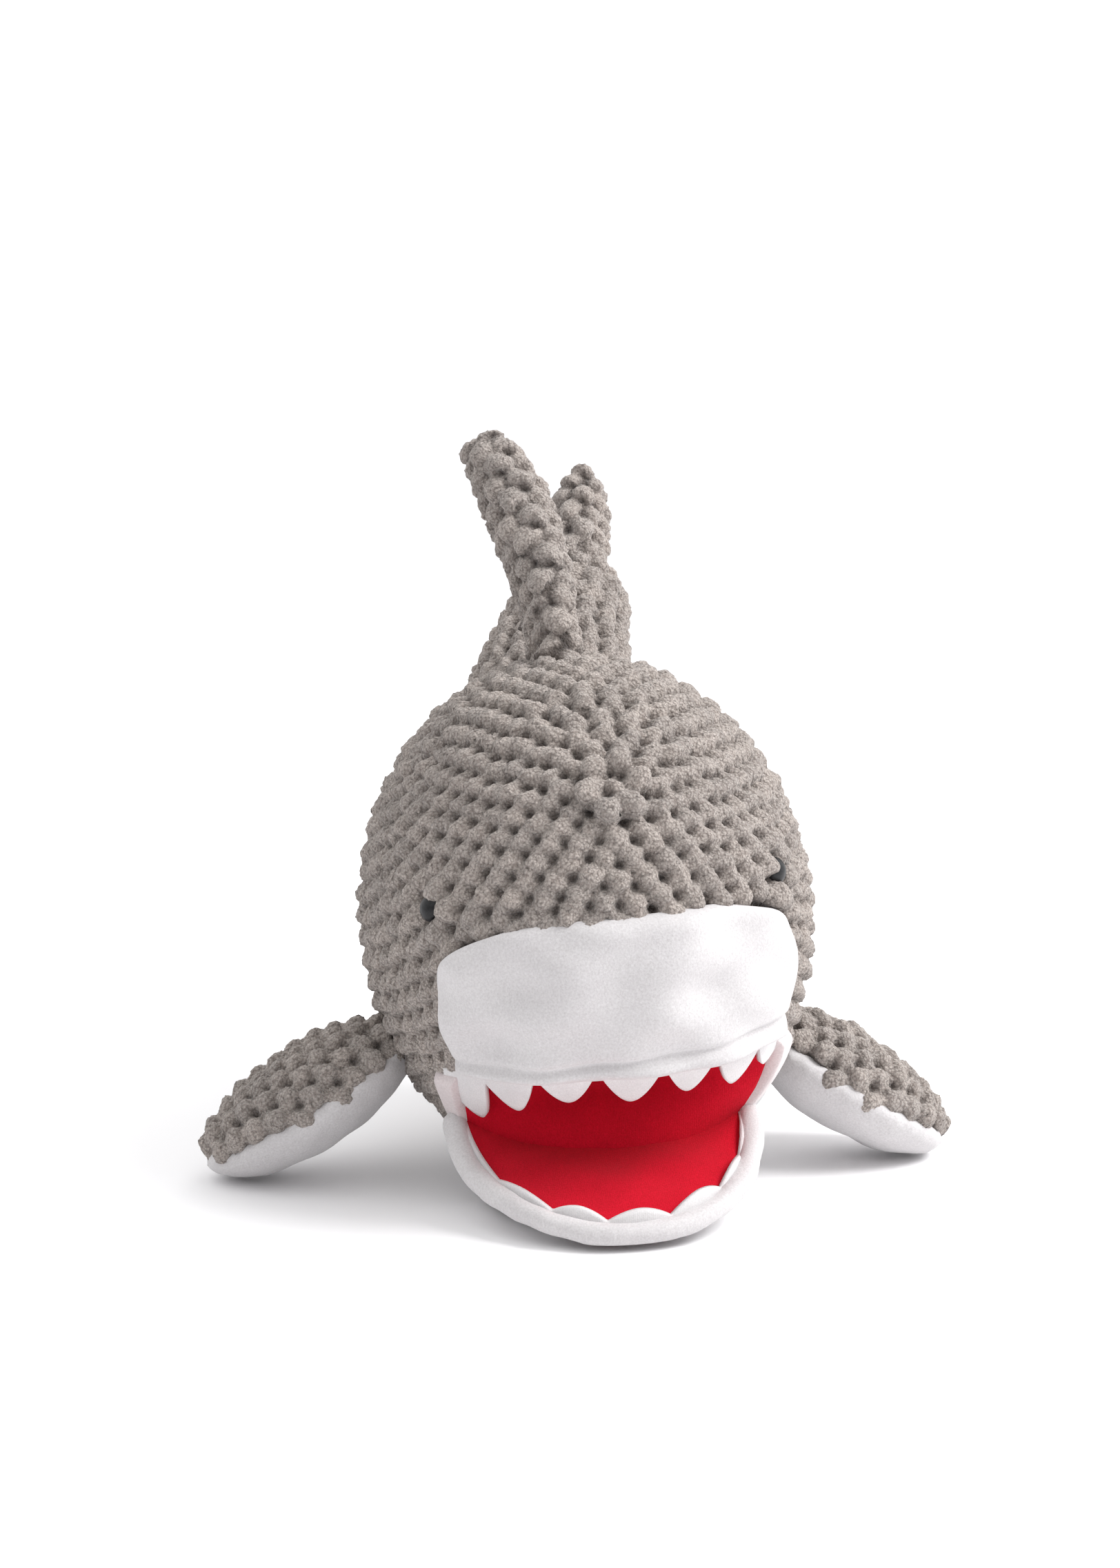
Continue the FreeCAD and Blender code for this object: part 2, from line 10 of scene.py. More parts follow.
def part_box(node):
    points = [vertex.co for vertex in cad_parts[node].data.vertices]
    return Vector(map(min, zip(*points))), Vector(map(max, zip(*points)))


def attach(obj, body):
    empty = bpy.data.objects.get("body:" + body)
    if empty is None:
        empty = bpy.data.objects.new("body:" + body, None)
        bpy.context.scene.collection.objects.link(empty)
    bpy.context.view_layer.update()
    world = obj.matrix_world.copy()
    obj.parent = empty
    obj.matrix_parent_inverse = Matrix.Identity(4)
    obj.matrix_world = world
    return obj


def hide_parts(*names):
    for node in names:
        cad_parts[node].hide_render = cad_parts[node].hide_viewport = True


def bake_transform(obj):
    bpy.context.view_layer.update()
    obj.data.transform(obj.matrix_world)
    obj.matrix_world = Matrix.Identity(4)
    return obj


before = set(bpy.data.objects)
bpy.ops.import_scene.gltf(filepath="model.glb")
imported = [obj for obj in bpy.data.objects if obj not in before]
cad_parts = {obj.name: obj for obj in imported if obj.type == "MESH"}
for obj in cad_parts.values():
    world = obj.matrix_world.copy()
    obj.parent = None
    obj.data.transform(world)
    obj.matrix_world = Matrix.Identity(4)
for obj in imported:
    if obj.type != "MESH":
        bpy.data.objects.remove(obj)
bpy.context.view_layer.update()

# The looks of a stuffed toy shark: crocheted covers, fleece panels, a felt mouth and bead eyes.
# Shapes are worked out in millimetres in the frame's own axes and written to Blender in metres.

MM = 0.001
X = np.array((1.0, 0.0, 0.0))
Y = np.array((0.0, 1.0, 0.0))
Z = np.array((0.0, 0.0, 1.0))
RANDOM = np.random.default_rng(11)
FINE_VOXEL = 1.1
BASE_VOXEL = 3.0
FIN_VOXEL = 2.0
RING_SEGMENTS = 48
LOFT_STEPS = 24
CAST_RAYS = 144

# Body egg, in a frame that leans to the shark's right
EGG_CENTRE = np.array((0.0, -5.0, 99.5))
EGG_HALF = np.array((88.5, 108.0, 103.0))
BODY_LEAN = 5.0
BASE_INSET = 5.9
NOSE_RISE = 39.5
NOSE_YAW = 3.8
NOSE_RADIUS = 100.0
NOSE_BUMP = 1.8
NOSE_BUMP_HALF = np.array((16.0, 16.0, 5.0))
ROSETTE_HALF = (8.0, 9.0)

# Round sections of the rump and tail stem: radius, centre and rise, and yaw on the stem.
# Lobes of the tail fin: half sizes, reach from the stem's end, and rise.
RUMP_SECTIONS = (
    (84.0, (0.0, 25.0, 97.0), 0.0),
    (67.0, (0.0, 75.0, 110.0), 18.0),
    (49.7, (0.0, 105.0, 131.0), 35.0),
)
STEM_MIDDLE = (38.0, (4.0, 132.0, 165.0), 42.5, 9.0)
STEM_END = (26.5, (16.5, 156.0, 203.0), 50.0, 18.0)
TAIL_TURN = 18.0
UPPER_LOBE = ((14.0, 21.0, 36.0), 31.0, 62.0)
LOWER_LOBE = ((12.0, 16.0, 34.0), 35.0, -3.0)
TAIL_SEAM_POINT = np.array((0.0, 62.0, 172.0))

# Mouth
HINGE = np.array((0.0, -50.0, 27.0))
ROOF_HALF_WIDTH = 57.0
FELT_THICKNESS = 1.8
MOUTH_WALL_Y = -44.0
MOUTH_ROOF_Z = 56.0
PALATE_BACK = (-62.0, 50.0)
JAW_HALF = (61.0, 76.0, 40.0)
JAW_SLOPE = 16.0

# Stitches
STITCH_PITCH = 9.5
ROW_SPACING = 8.4
RUMP_ROW_SPACING = 7.8
STEM_ROW_SPACING = 8.0
LOBE_ROW_SPACING, LOBE_SWELL = 8.0, 0.97
DORSAL_ROW_SPACING, DORSAL_SWELL = 9.0, 1.06
PECTORAL_ROW_SPACING = 8.1
PUFF_HALF = np.array((5.3, 6.5, 4.8))
PUFF_SLANT = 22.0
PUFF_TILT = 21.0
CLOSEST_STITCH = 6.4
WIDEST_GAP = 6.6
DORSAL_CLOSEST, DORSAL_GAP = 6.8, 6.9
PIT_RADIUS = 2.1
PIT_DEPTH = 3.6
CREASE_WIDTH = 1.4
CREASE_DEPTH = 0.7
NAP = 0.17


# Small geometry helpers

def turn(axis, degrees):
    """The 3x3 matrix of a turn about a unit axis."""
    x, y, z = axis
    cross = np.array(((0.0, -z, y), (z, 0.0, -x), (-y, x, 0.0)))
    angle = math.radians(degrees)
    return np.eye(3) + math.sin(angle) * cross + (1.0 - math.cos(angle)) * cross @ cross


def rising(rise, yaw=0.0):
    """The turn that takes +Z to a direction rising from +Y, then yawed towards +X."""
    return turn(Z, -yaw) @ turn(X, rise - 90.0)


LEAN = turn(Y, -BODY_LEAN)


def lean(points):
    """Points of the upright egg's frame, where the leaning body has them."""
    return (np.asarray(points, dtype=float) - EGG_CENTRE) @ LEAN.T + EGG_CENTRE


def upright(points):
    """Points of the leaning body, in the upright egg's frame."""
    return (np.asarray(points, dtype=float) - EGG_CENTRE) @ LEAN + EGG_CENTRE


def unit(vectors):
    """Vectors at length 1."""
    vectors = np.asarray(vectors, dtype=float)
    return vectors / np.maximum(np.linalg.norm(vectors, axis=-1, keepdims=True), 1e-9)


def smoothstep(low, high, value):
    """A smooth climb from 0 at low to 1 at high."""
    share = np.clip((np.asarray(value, dtype=float) - low) / (high - low), 0.0, 1.0)
    return share * share * (3.0 - 2.0 * share)


def ripple(points, wavelength, seed):
    """A smooth repeatable unevenness between about -1 and 1, from sums of slanted waves."""
    source = np.random.default_rng(seed)
    total = np.zeros(len(points))
    waves = 6
    for _ in range(waves):
        direction = unit(source.normal(size=3))
        stretch = source.uniform(0.7, 1.5)
        phase = points @ direction * (2.0 * math.pi * stretch / wavelength)
        total += np.sin(phase + source.uniform(0.0, 6.3))
    return total / math.sqrt(waves) / 1.2


# Meshes as (points, faces), with faces all of one length

def ellipsoid(half, centre, rotation=np.eye(3), segments=48, rings=32):
    """An ellipsoid of triangles with a pole at each end of its own Z."""
    around = np.arange(segments) * 2.0 * math.pi / segments
    down = np.arange(1, rings) * math.pi / rings
    side = np.sin(down)[:, None]
    layers = np.stack(
        (side * np.cos(around), side * np.sin(around), np.cos(down)[:, None] + 0.0 * around), axis=-1
    ).reshape(-1, 3)
    points = np.vstack(((0.0, 0.0, 1.0), layers, (0.0, 0.0, -1.0)))
    last = len(points) - 1
    faces = []
    for number in range(segments):
        after = (number + 1) % segments
        faces.append((0, 1 + number, 1 + after))
        for band in range(rings - 2):
            upper = 1 + band * segments
            lower = upper + segments
            faces.append((upper + number, lower + number, lower + after))
            faces.append((upper + number, lower + after, upper + after))
        bottom = 1 + (rings - 2) * segments
        faces.append((last, bottom + after, bottom + number))
    return (points * np.asarray(half)) @ rotation.T + np.asarray(centre), np.array(faces)


def ring(half_x, half_y, centre, rotation):
    """Points round an ellipse that lies across a rotation's own Z."""
    around = np.arange(RING_SEGMENTS) * 2.0 * math.pi / RING_SEGMENTS
    flat = np.stack((half_x * np.cos(around), half_y * np.sin(around), 0.0 * around), axis=-1)
    return flat @ rotation.T + np.asarray(centre)


def loft(rings):
    """A closed skin through rings of matching points, smooth from ring to ring."""
    rings = np.asarray(rings)
    centres = rings.mean(axis=1)
    gaps = np.linalg.norm(np.diff(centres, axis=0), axis=1)
    knots = np.concatenate(((0.0,), np.cumsum(gaps)))
    layers = []
    for value in np.linspace(0.0, knots[-1], LOFT_STEPS):
        layer = np.zeros_like(rings[0])
        for number, knot in enumerate(knots):
            others = np.delete(knots, number)
            layer += rings[number] * np.prod((value - others) / (knot - others))
        layers.append(layer)
    count = rings.shape[1]
    points = np.vstack(layers + [centres[:1], centres[-1:]])
    first, last = len(points) - 2, len(points) - 1
    faces = []
    for number in range(count):
        after = (number + 1) % count
        faces.append((first, after, number))
        for step in range(LOFT_STEPS - 1):
            low = step * count
            high = low + count
            faces.append((low + number, low + after, high + after))
            faces.append((low + number, high + after, high + number))
        top = (LOFT_STEPS - 1) * count
        faces.append((last, top + number, top + after))
    return points, np.array(faces)


def split_quads(faces):
    """Faces as triangles."""
    return np.vstack((faces[:, (0, 1, 2)], faces[:, (0, 2, 3)])) if faces.shape[1] == 4 else faces


def joined(parts):
    """Several parts as one, still overlapping."""
    points = np.vstack([part[0] for part in parts])
    starts = np.cumsum([0] + [len(part[0]) for part in parts[:-1]])
    faces = np.vstack([split_quads(part[1]) + start for part, start in zip(parts, starts)])
    return points, faces


def slab(front, back):
    """A closed thick sheet from two matching grids of points, in rows and columns."""
    rows, columns = front.shape[:2]
    index = np.arange(rows * columns).reshape(rows, columns)
    corners = (index[:-1, :-1], index[:-1, 1:], index[1:, 1:], index[1:, :-1])
    outer = np.stack(corners, axis=-1).reshape(-1, 4)
    inner = outer[:, ::-1] + rows * columns
    rim = np.concatenate((index[0, :], index[1:, -1], index[-1, -2::-1], index[-2:0:-1, 0]))
    after = np.roll(rim, -1)
    edge = np.stack((after, rim, rim + rows * columns, after + rows * columns), axis=-1)
    return np.vstack((front.reshape(-1, 3), back.reshape(-1, 3))), np.vstack((outer, inner, edge))


def felt_sheet(front):
    """Work out the flat size and area that a felt piece's curved face unrolls to; nothing is kept or
    returned.
    """
    across = np.linalg.norm(np.diff(front, axis=1), axis=-1).sum(axis=1).max()
    along = np.linalg.norm(np.diff(front, axis=0), axis=-1).sum(axis=0).max()
    first = front[1:, 1:] - front[:-1, :-1]
    second = front[1:, :-1] - front[:-1, 1:]
    area = 0.5 * np.linalg.norm(np.cross(first, second), axis=-1).sum()
    area = min(area, across * along) * MM * MM


def blend_along(item):
    """Bake a piece's placement into its mesh."""
    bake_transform(item)


def mesh_of(name, part):
    """A mesh data block from points and faces."""
    points, faces = part
    sides = faces.shape[1]
    mesh = bpy.data.meshes.new(name)
    mesh.vertices.add(len(points))
    mesh.vertices.foreach_set("co", (points * MM).astype(np.float32).ravel())
    mesh.loops.add(faces.size)
    mesh.loops.foreach_set("vertex_index", faces.astype(np.int32).ravel())
    mesh.polygons.add(len(faces))
    mesh.polygons.foreach_set("loop_start", np.arange(0, faces.size, sides, dtype=np.int32))
    mesh.update(calc_edges=True)
    mesh.validate()
    return mesh


def placed(name, data):
    """A new object in the scene."""
    item = bpy.data.objects.new(name, data)
    bpy.context.scene.collection.objects.link(item)
    return item


def shown(name, part, material):
    """A smooth-shaded piece of the object with its material."""
    mesh = mesh_of(name, part)
    mesh.polygons.foreach_set("use_smooth", np.ones(len(mesh.polygons), dtype=bool))
    mesh.materials.append(material)
    item = placed(name, mesh)
    return item


def result_of(item):
    """The mesh that an object's modifiers give, as (points, quads)."""
    evaluated = item.evaluated_get(bpy.context.evaluated_depsgraph_get())
    mesh = evaluated.to_mesh()
    points = np.empty(3 * len(mesh.vertices), dtype=np.float32)
    corners = np.empty(len(mesh.loops), dtype=np.int32)
    mesh.vertices.foreach_get("co", points)
    mesh.loops.foreach_get("vertex_index", corners)
    evaluated.to_mesh_clear()
    return points.reshape(-1, 3).astype(float) / MM, corners.reshape(-1, 4)


def merged(parts, voxel, rounds):
    """One even skin of quads around overlapping closed parts, smoothed a little."""
    item = placed("merge", mesh_of("merge", joined(parts)))
    remesh = item.modifiers.new("Remesh", "REMESH")
    remesh.mode = "VOXEL"
    remesh.voxel_size = voxel * MM
    smooth = item.modifiers.new("Smooth", "SMOOTH")
    smooth.factor = 0.5
    smooth.iterations = rounds
    part = result_of(item)
    mesh = item.data
    bpy.data.objects.remove(item)
    bpy.data.meshes.remove(mesh)
    return part


def tree_of(part):
    """A search tree of a part's faces."""
    return BVHTree.FromPolygons(part[0].tolist(), part[1].tolist())


# Crochet: rows of stitches laid round a form, each one a puff of yarn, merged into one skin

def row_round(tree, centre, away, pitch, phase):
    """Evenly spaced stitches where a plane cuts a form: points, normals and directions along the row."""
    side = unit(np.cross(away, X if abs(away[0]) < 0.8 else Y))
    other = np.cross(away, side)
    start = Vector(centre)
    hits = []
    for number in range(CAST_RAYS):
        angle = 2.0 * math.pi * number / CAST_RAYS
        hit = tree.ray_cast(start, Vector(math.cos(angle) * side + math.sin(angle) * other))[0]
        if hit is not None:
            hits.append(hit)
    if len(hits) < CAST_RAYS // 2:
        return []
    outline = np.array(hits + hits[:1])
    lengths = np.concatenate(((0.0,), np.cumsum(np.linalg.norm(np.diff(outline, axis=0), axis=1))))
    count = max(5, round(lengths[-1] / pitch))
    stitches = []
    for number in range(count):
        along = ((number + phase) % count) * lengths[-1] / count
        segment = min(np.searchsorted(lengths, along, side="right") - 1, len(hits) - 1)
        step = outline[segment + 1] - outline[segment]
        share = (along - lengths[segment]) / max(lengths[segment + 1] - lengths[segment], 1e-6)
        place, normal = tree.find_nearest(Vector(outline[segment] + share * step))[:2]
        normal = np.array(normal)
        row = unit(step - normal * (step @ normal))
        stitches.append((np.array(place), normal, row))
    return stitches


def laid(tree, rows, keep, closest=CLOSEST_STITCH):
    """Stitches of all the rows that pass keep and don't crowd an earlier one.

    Each row is (centre, away, lift, swell): a point on its plane inside the form, the direction
    towards the next row, how far its puffs stand out, and how much larger they are.
    """
    places = np.empty((0, 3))
    stitches = []
    for number, (centre, away, lift, swell) in enumerate(rows):
        phase = 0.5 * (number % 2)
        for point, normal, along in row_round(tree, centre, unit(away), STITCH_PITCH * swell, phase):
            if not keep(point):
                continue
            if len(places) and np.min(np.sum((places - point) ** 2, axis=1)) < closest**2:
                continue
            places = np.vstack((places, point))
            stitches.append((point, normal, along, lift, swell))
    return stitches


def filled(form, tree, stitches, keep, gap=WIDEST_GAP):
    """The stitches, with more wherever the form lies further than a gap from all of them."""
    laid_already = tree_of_points([stitch[0] for stitch in stitches])
    bare = []
    for point in form[0]:
        index, distance = laid_already.find(Vector(point))[1:]
        if distance > gap and keep(point):
            bare.append((distance, index, point))
    bare.sort(key=lambda item: (-item[0], *item[2]))
    added = []
    for distance, index, point in bare:
        if added and min(np.linalg.norm(point - stitch[0]) for stitch in added) < gap:
            continue
        normal = np.array(tree.find_nearest(Vector(point))[1])
        along = stitches[index][2]
        added.append((point, normal, unit(along - normal * (along @ normal)), 0.0, stitches[index][4]))
    return stitches + added


def fin_rows(form, foot, axis, spacing, swell):
    """Rows from a fin's tip to its root, closer together round the tip."""
    tip = form[0][np.argmax(form[0] @ axis)]
    length = (tip - foot) @ axis
    depths = [1.0, 6.0] + list(np.arange(13.5, 1.3 * length, spacing))
    return [(tip + (foot - tip) * depth / length, -axis, 0.0, swell) for depth in depths]


def arrays_of(stitches):
    """The stitches' places, normals, directions along the row, lifts and swells, as arrays."""
    return [np.array(values) for values in zip(*stitches)]


PUFF = ellipsoid((1.0, 1.0, 1.0), (0.0, 0.0, 0.0), turn(Y, 90.0), segments=10, rings=7)


def puffs(stitches):
    """The yarn of each stitch: a fat drop whose far end stands proud of the next row."""
    points, faces = PUFF
    count = len(stitches)
    place, normal, along, lift, swell = arrays_of(stitches)
    away = np.cross(normal, along)
    jitter = RANDOM.normal(0.0, 1.0, size=(count, 7))
    size = PUFF_HALF * (swell[:, None] + 0.07 * np.clip(jitter[:, :3], -1.8, 1.8))
    shape = points[None, :, :] * size[:, None, :]
    shape[:, :, 0] *= 1.0 + 0.16 * points[None, :, 1]
    slant = np.radians(PUFF_SLANT + 9.0 * np.clip(jitter[:, 3], -2.0, 2.0))[:, None]
    across = shape[:, :, 0] * np.cos(slant) - shape[:, :, 1] * np.sin(slant)
    length = shape[:, :, 0] * np.sin(slant) + shape[:, :, 1] * np.cos(slant)
    tilt = np.tan(np.radians(PUFF_TILT + 4.0 * np.clip(jitter[:, 4], -2.0, 2.0)))[:, None]
    height = shape[:, :, 2] + length * tilt + (lift + 0.7 + 0.35 * jitter[:, 5])[:, None]
    skin = (
        place[:, None, :]
        + across[:, :, None] * along[:, None, :]
        + length[:, :, None] * away[:, None, :]
        + height[:, :, None] * normal[:, None, :]
    )
    all_faces = faces[None, :, :] + (np.arange(count) * len(points))[:, None, None]
    return skin.reshape(-1, 3), all_faces.reshape(-1, 3)


def tree_of_points(places):
    """A search tree of places."""
    tree = KDTree(len(places))
    for number, place in enumerate(places):
        tree.insert(place, number)
    tree.balance()
    return tree


PIT_TRIALS = [(back, aside) for back in (4.2, 5.2, 6.3) for aside in (-4.4, -3.0, -1.4, 0.0, 1.4, 3.0, 4.4)]


def pit_places(place, normal, along, swell):
    """The clearest spot beside each stitch, on the side of the row before it."""
    away = np.cross(normal, along)
    centres = tree_of_points(place)
    pits = np.empty_like(place)
    for number in range(len(place)):
        trials = [
            place[number] + swell[number] * (aside * along[number] - back * away[number])
            for back, aside in PIT_TRIALS
        ]
        pits[number] = max(trials, key=lambda trial: centres.find(Vector(trial))[2])
    return pits


def crocheted(name, base, stitches, floor=None):
    """A crocheted cover: the base form and its puffs in one skin, with shade painted darker into its pits
    and the creases between its puffs.
    """
    points, faces = merged([base, puffs(stitches)], FINE_VOXEL, 1)
    points += 0.16 * np.stack([ripple(points, 3.4, seed) for seed in (21, 22, 23)], axis=-1)
    place, normal, along, lift, swell = arrays_of(stitches)
    crowns = tree_of_points(place + (lift + 1.0)[:, None] * normal)
    hollows = tree_of_points(pit_places(place, normal, along, swell) + lift[:, None] * normal)
    tree = tree_of(base)
    tones = RANDOM.uniform(0.0, 1.0, size=len(stitches))
    depth, tone, dip, crease = (np.empty(len(points)) for _ in range(4))
    inward = np.empty_like(points)
    for number, point in enumerate(points):
        spot = Vector(point)
        depth[number] = tree.find_nearest(spot)[3]
        (_, crown, near), (_, _, next_near) = crowns.find_n(spot, 2)
        tone[number] = tones[crown]
        crease[number] = math.exp(-(((next_near - near) / CREASE_WIDTH) ** 2))
        hollow, index, _ = hollows.find(spot)
        offset = point - np.array(hollow)
        offset -= normal[index] * (offset @ normal[index])
        dip[number] = math.exp(-(offset @ offset) / PIT_RADIUS**2)
        inward[number] = -normal[index]
    crease *= (1.0 - dip) * smoothstep(1.0, 3.0, depth)
    points += (np.minimum(PIT_DEPTH, depth) * dip + CREASE_DEPTH * crease)[:, None] * inward
    points += NAP * RANDOM.normal(size=points.shape)
    if floor is not None:
        points[:, 2] = np.maximum(points[:, 2], floor)
    # Painted shade: how open each point is to light. It is lower near the base form, in the pits and in the
    # creases between puffs, and it darkens the yarn's colour.
    painted_shade_openness = smoothstep(0.2, 3.6, depth) * (1.0 - 0.8 * dip) * (1.0 - 0.25 * crease)
    item = shown(name, (points, faces), YARN)
    for label, values in (("painted_shade_openness", painted_shade_openness), ("tone", tone)):
        layer = item.data.attributes.new(label, "FLOAT", "POINT")
        layer.data.foreach_set("value", values.astype(np.float32))
    return item


# Materials

def new_material(name):
    """A node material, its tree and its surface shader."""
    material = bpy.data.materials.new(name)
    material.use_nodes = True
    return material, material.node_tree, material.node_tree.nodes["Principled BSDF"]


def texture(tree, kind, output, **values):
    """A procedural texture in the object's own coordinates."""
    coordinates = tree.nodes.new("ShaderNodeTexCoord")
    item = tree.nodes.new(kind)
    for name, value in values.items():
        item.inputs[name].default_value = value
    tree.links.new(coordinates.outputs["Object"], item.inputs["Vector"])
    return item.outputs[output]


def noise(tree, scale, detail=4.0, roughness=0.55):
    """Cloudy unevenness."""
    return texture(tree, "ShaderNodeTexNoise", "Fac", Scale=scale, Detail=detail, Roughness=roughness)


def tufts(tree, scale):
    """Small round tufts, as on a napped yarn."""
    return texture(tree, "ShaderNodeTexVoronoi", "Distance", Scale=scale)


def ribs(tree, scale, distortion):
    """Fine upright ribs of a knitted cloth."""
    return texture(tree, "ShaderNodeTexWave", "Fac", Scale=scale, Distortion=distortion, Detail=2.0)


def ramp(tree, value, low, high, low_colour, high_colour):
    """A value turned into a colour, between two colours at two levels."""
    item = tree.nodes.new("ShaderNodeValToRGB")
    item.color_ramp.elements[0].position = low
    item.color_ramp.elements[0].color = (*low_colour, 1.0)
    item.color_ramp.elements[1].position = high
    item.color_ramp.elements[1].color = (*high_colour, 1.0)
    tree.links.new(value, item.inputs["Fac"])
    return item.outputs["Color"]


def multiplied(tree, first, second):
    """Two colours multiplied together."""
    item = tree.nodes.new("ShaderNodeMix")
    item.data_type = "RGBA"
    item.blend_type = "MULTIPLY"
    item.inputs["Factor"].default_value = 1.0
    tree.links.new(first, item.inputs["A"])
    tree.links.new(second, item.inputs["B"])
    return item.outputs["Result"]


def attribute(tree, name):
    """A value stored on the mesh's points."""
    item = tree.nodes.new("ShaderNodeAttribute")
    item.attribute_name = name
    return item.outputs["Fac"]


def bumped(tree, shader, *layers):
    """Stack bumps, each a (height output, strength, distance in metres)."""
    last = None
    for height, strength, distance in layers:
        item = tree.nodes.new("ShaderNodeBump")
        item.inputs["Strength"].default_value = strength
        item.inputs["Distance"].default_value = distance
        tree.links.new(height, item.inputs["Height"])
        if last is not None:
            tree.links.new(last, item.inputs["Normal"])
        last = item.outputs["Normal"]
    tree.links.new(last, shader.inputs["Normal"])


def soft_finish(shader, roughness, sheen):
    """A cloth's dull surface with a soft sheen at its edges."""
    shader.inputs["Roughness"].default_value = roughness
    shader.inputs["Specular IOR Level"].default_value = 0.15
    shader.inputs["Sheen Weight"].default_value = sheen
    shader.inputs["Sheen Roughness"].default_value = 0.5


def yarn_material():
    """Napped chenille yarn: grey-brown, with painted shade that leaves its crowns paler and darkens it
    between the stitches and between its small tufts.
    """
    material, tree, shader = new_material("crochet_yarn")
    nap = noise(tree, 1500.0, 3.0, 0.7)
    tuft = tufts(tree, 850.0)
    strands = ramp(tree, nap, 0.3, 0.72, (0.36, 0.318, 0.29), (0.76, 0.68, 0.635))
    # Painted shade: the yarn is darker between its small tufts, where the bump below sinks the surface.
    gaps = ramp(tree, tuft, 0.25, 0.85, (1.0, 1.0, 1.0), (0.55, 0.53, 0.52))
    fibres = multiplied(tree, strands, gaps)
    stitch = ramp(tree, attribute(tree, "tone"), 0.0, 1.0, (0.86, 0.86, 0.86), (1.0, 0.99, 0.98))
    patch = ramp(tree, noise(tree, 28.0, 2.0), 0.3, 0.7, (0.9, 0.9, 0.9), (1.0, 1.0, 1.0))
    crowns = multiplied(tree, multiplied(tree, fibres, stitch), patch)
    # Painted shade: the yarn darkens to near black where the skin lies low and in the pits.
    depth = ramp(tree, attribute(tree, "painted_shade_openness"), 0.0, 0.85, (0.12, 0.1, 0.09), (1.0, 1.0, 1.0))
    colour = multiplied(tree, crowns, depth)
    tree.links.new(colour, shader.inputs["Base Color"])
    soft_finish(shader, 0.95, 0.25)
    bumped(tree, shader, (tuft, 0.9, -0.0011), (nap, 0.9, 0.0008))
    return material


def fleece_material(name, dark, light):
    """Brushed fleece with a short directionless nap."""
    material, tree, shader = new_material(name)
    nap = noise(tree, 1300.0, 4.0, 0.65)
    cloth = ramp(tree, nap, 0.25, 0.75, dark, light)
    worn = ramp(tree, noise(tree, 45.0, 3.0), 0.3, 0.7, (0.94, 0.935, 0.94), (1.0, 1.0, 1.0))
    tree.links.new(multiplied(tree, cloth, worn), shader.inputs["Base Color"])
    soft_finish(shader, 0.9, 0.3)
    bumped(tree, shader, (noise(tree, 220.0, 3.0), 0.35, 0.0006), (nap, 0.4, 0.0004))
    return material


def felt_material(name, dark, light):
    """Felt: matted fibres with a faint rib from the cloth behind them."""
    material, tree, shader = new_material(name)
    fibres = noise(tree, 1700.0, 5.0, 0.7)
    cloth = ramp(tree, fibres, 0.25, 0.75, dark, light)
    worn = ramp(tree, noise(tree, 60.0, 3.0), 0.3, 0.7, (0.9, 0.9, 0.9), (1.0, 1.0, 1.0))
    tree.links.new(multiplied(tree, cloth, worn), shader.inputs["Base Color"])
    soft_finish(shader, 0.92, 0.04)
    bumped(tree, shader, (ribs(tree, 420.0, 1.5), 0.12, 0.0003), (fibres, 0.45, 0.0004))
    return material


def bead_material():
    """Glossy black bead with faint handling marks."""
    material, tree, shader = new_material("black_bead")
    marks = noise(tree, 900.0, 3.0)
    black = ramp(tree, marks, 0.3, 0.8, (0.006, 0.006, 0.007), (0.02, 0.02, 0.022))
    tree.links.new(black, shader.inputs["Base Color"])
    tree.links.new(ramp(tree, marks, 0.3, 0.8, (0.3,) * 3, (0.42,) * 3), shader.inputs["Roughness"])
    shader.inputs["Specular IOR Level"].default_value = 0.3
    return material


def washer_material():
    """Milky moulded plastic of the washers that hold the eyes."""
    material, tree, shader = new_material("washer_plastic")
    grain = noise(tree, 400.0, 2.0)
    milky = ramp(tree, grain, 0.3, 0.7, (0.66, 0.66, 0.64), (0.76, 0.76, 0.74))
    tree.links.new(milky, shader.inputs["Base Color"])
    shader.inputs["Roughness"].default_value = 0.45
    bumped(tree, shader, (grain, 0.15, 0.0002))
    return material


YARN = yarn_material()
FLEECE = fleece_material("white_fleece", (0.5, 0.48, 0.485), (0.67, 0.655, 0.66))
# Painted reflected light: the cheeks' white fleece, tinted pink as if lit by red light bounced from the
# mouth's felt.
RED_BOUNCE_FLEECE = fleece_material("cheek_fleece", (0.57, 0.5, 0.5), (0.73, 0.66, 0.66))
WHITE_FELT = felt_material("white_felt", (0.62, 0.6, 0.605), (0.8, 0.785, 0.79))
RED_FELT = felt_material("red_felt", (0.4, 0.001, 0.008), (0.66, 0.004, 0.026))
BEAD = bead_material()
WASHER = washer_material()


# Body and tail stem

def section_ring(radius, centre, rotation):
    """A round section of the leaning body, inside its stitches."""
    return lean(ring(radius - BASE_INSET, radius - BASE_INSET, centre, rotation))


def spine_rows(centres, spacing):
    """Rows whose planes stand square to a smooth line through the centres."""
    centres = np.asarray(centres, dtype=float)
    gaps = np.concatenate(((0.0,), np.cumsum(np.linalg.norm(np.diff(centres, axis=0), axis=1))))
    curve = [np.polyfit(gaps, centres[:, axis], len(centres) - 1) for axis in range(3)]
    rows = []
    for value in np.arange(0.0, gaps[-1] + spacing, spacing):
        centre = np.array([np.polyval(line, value) for line in curve])
        away = np.array([np.polyval(np.polyder(line), value) for line in curve])
        rows.append((centre, away, 0.0, 1.0))
    return rows


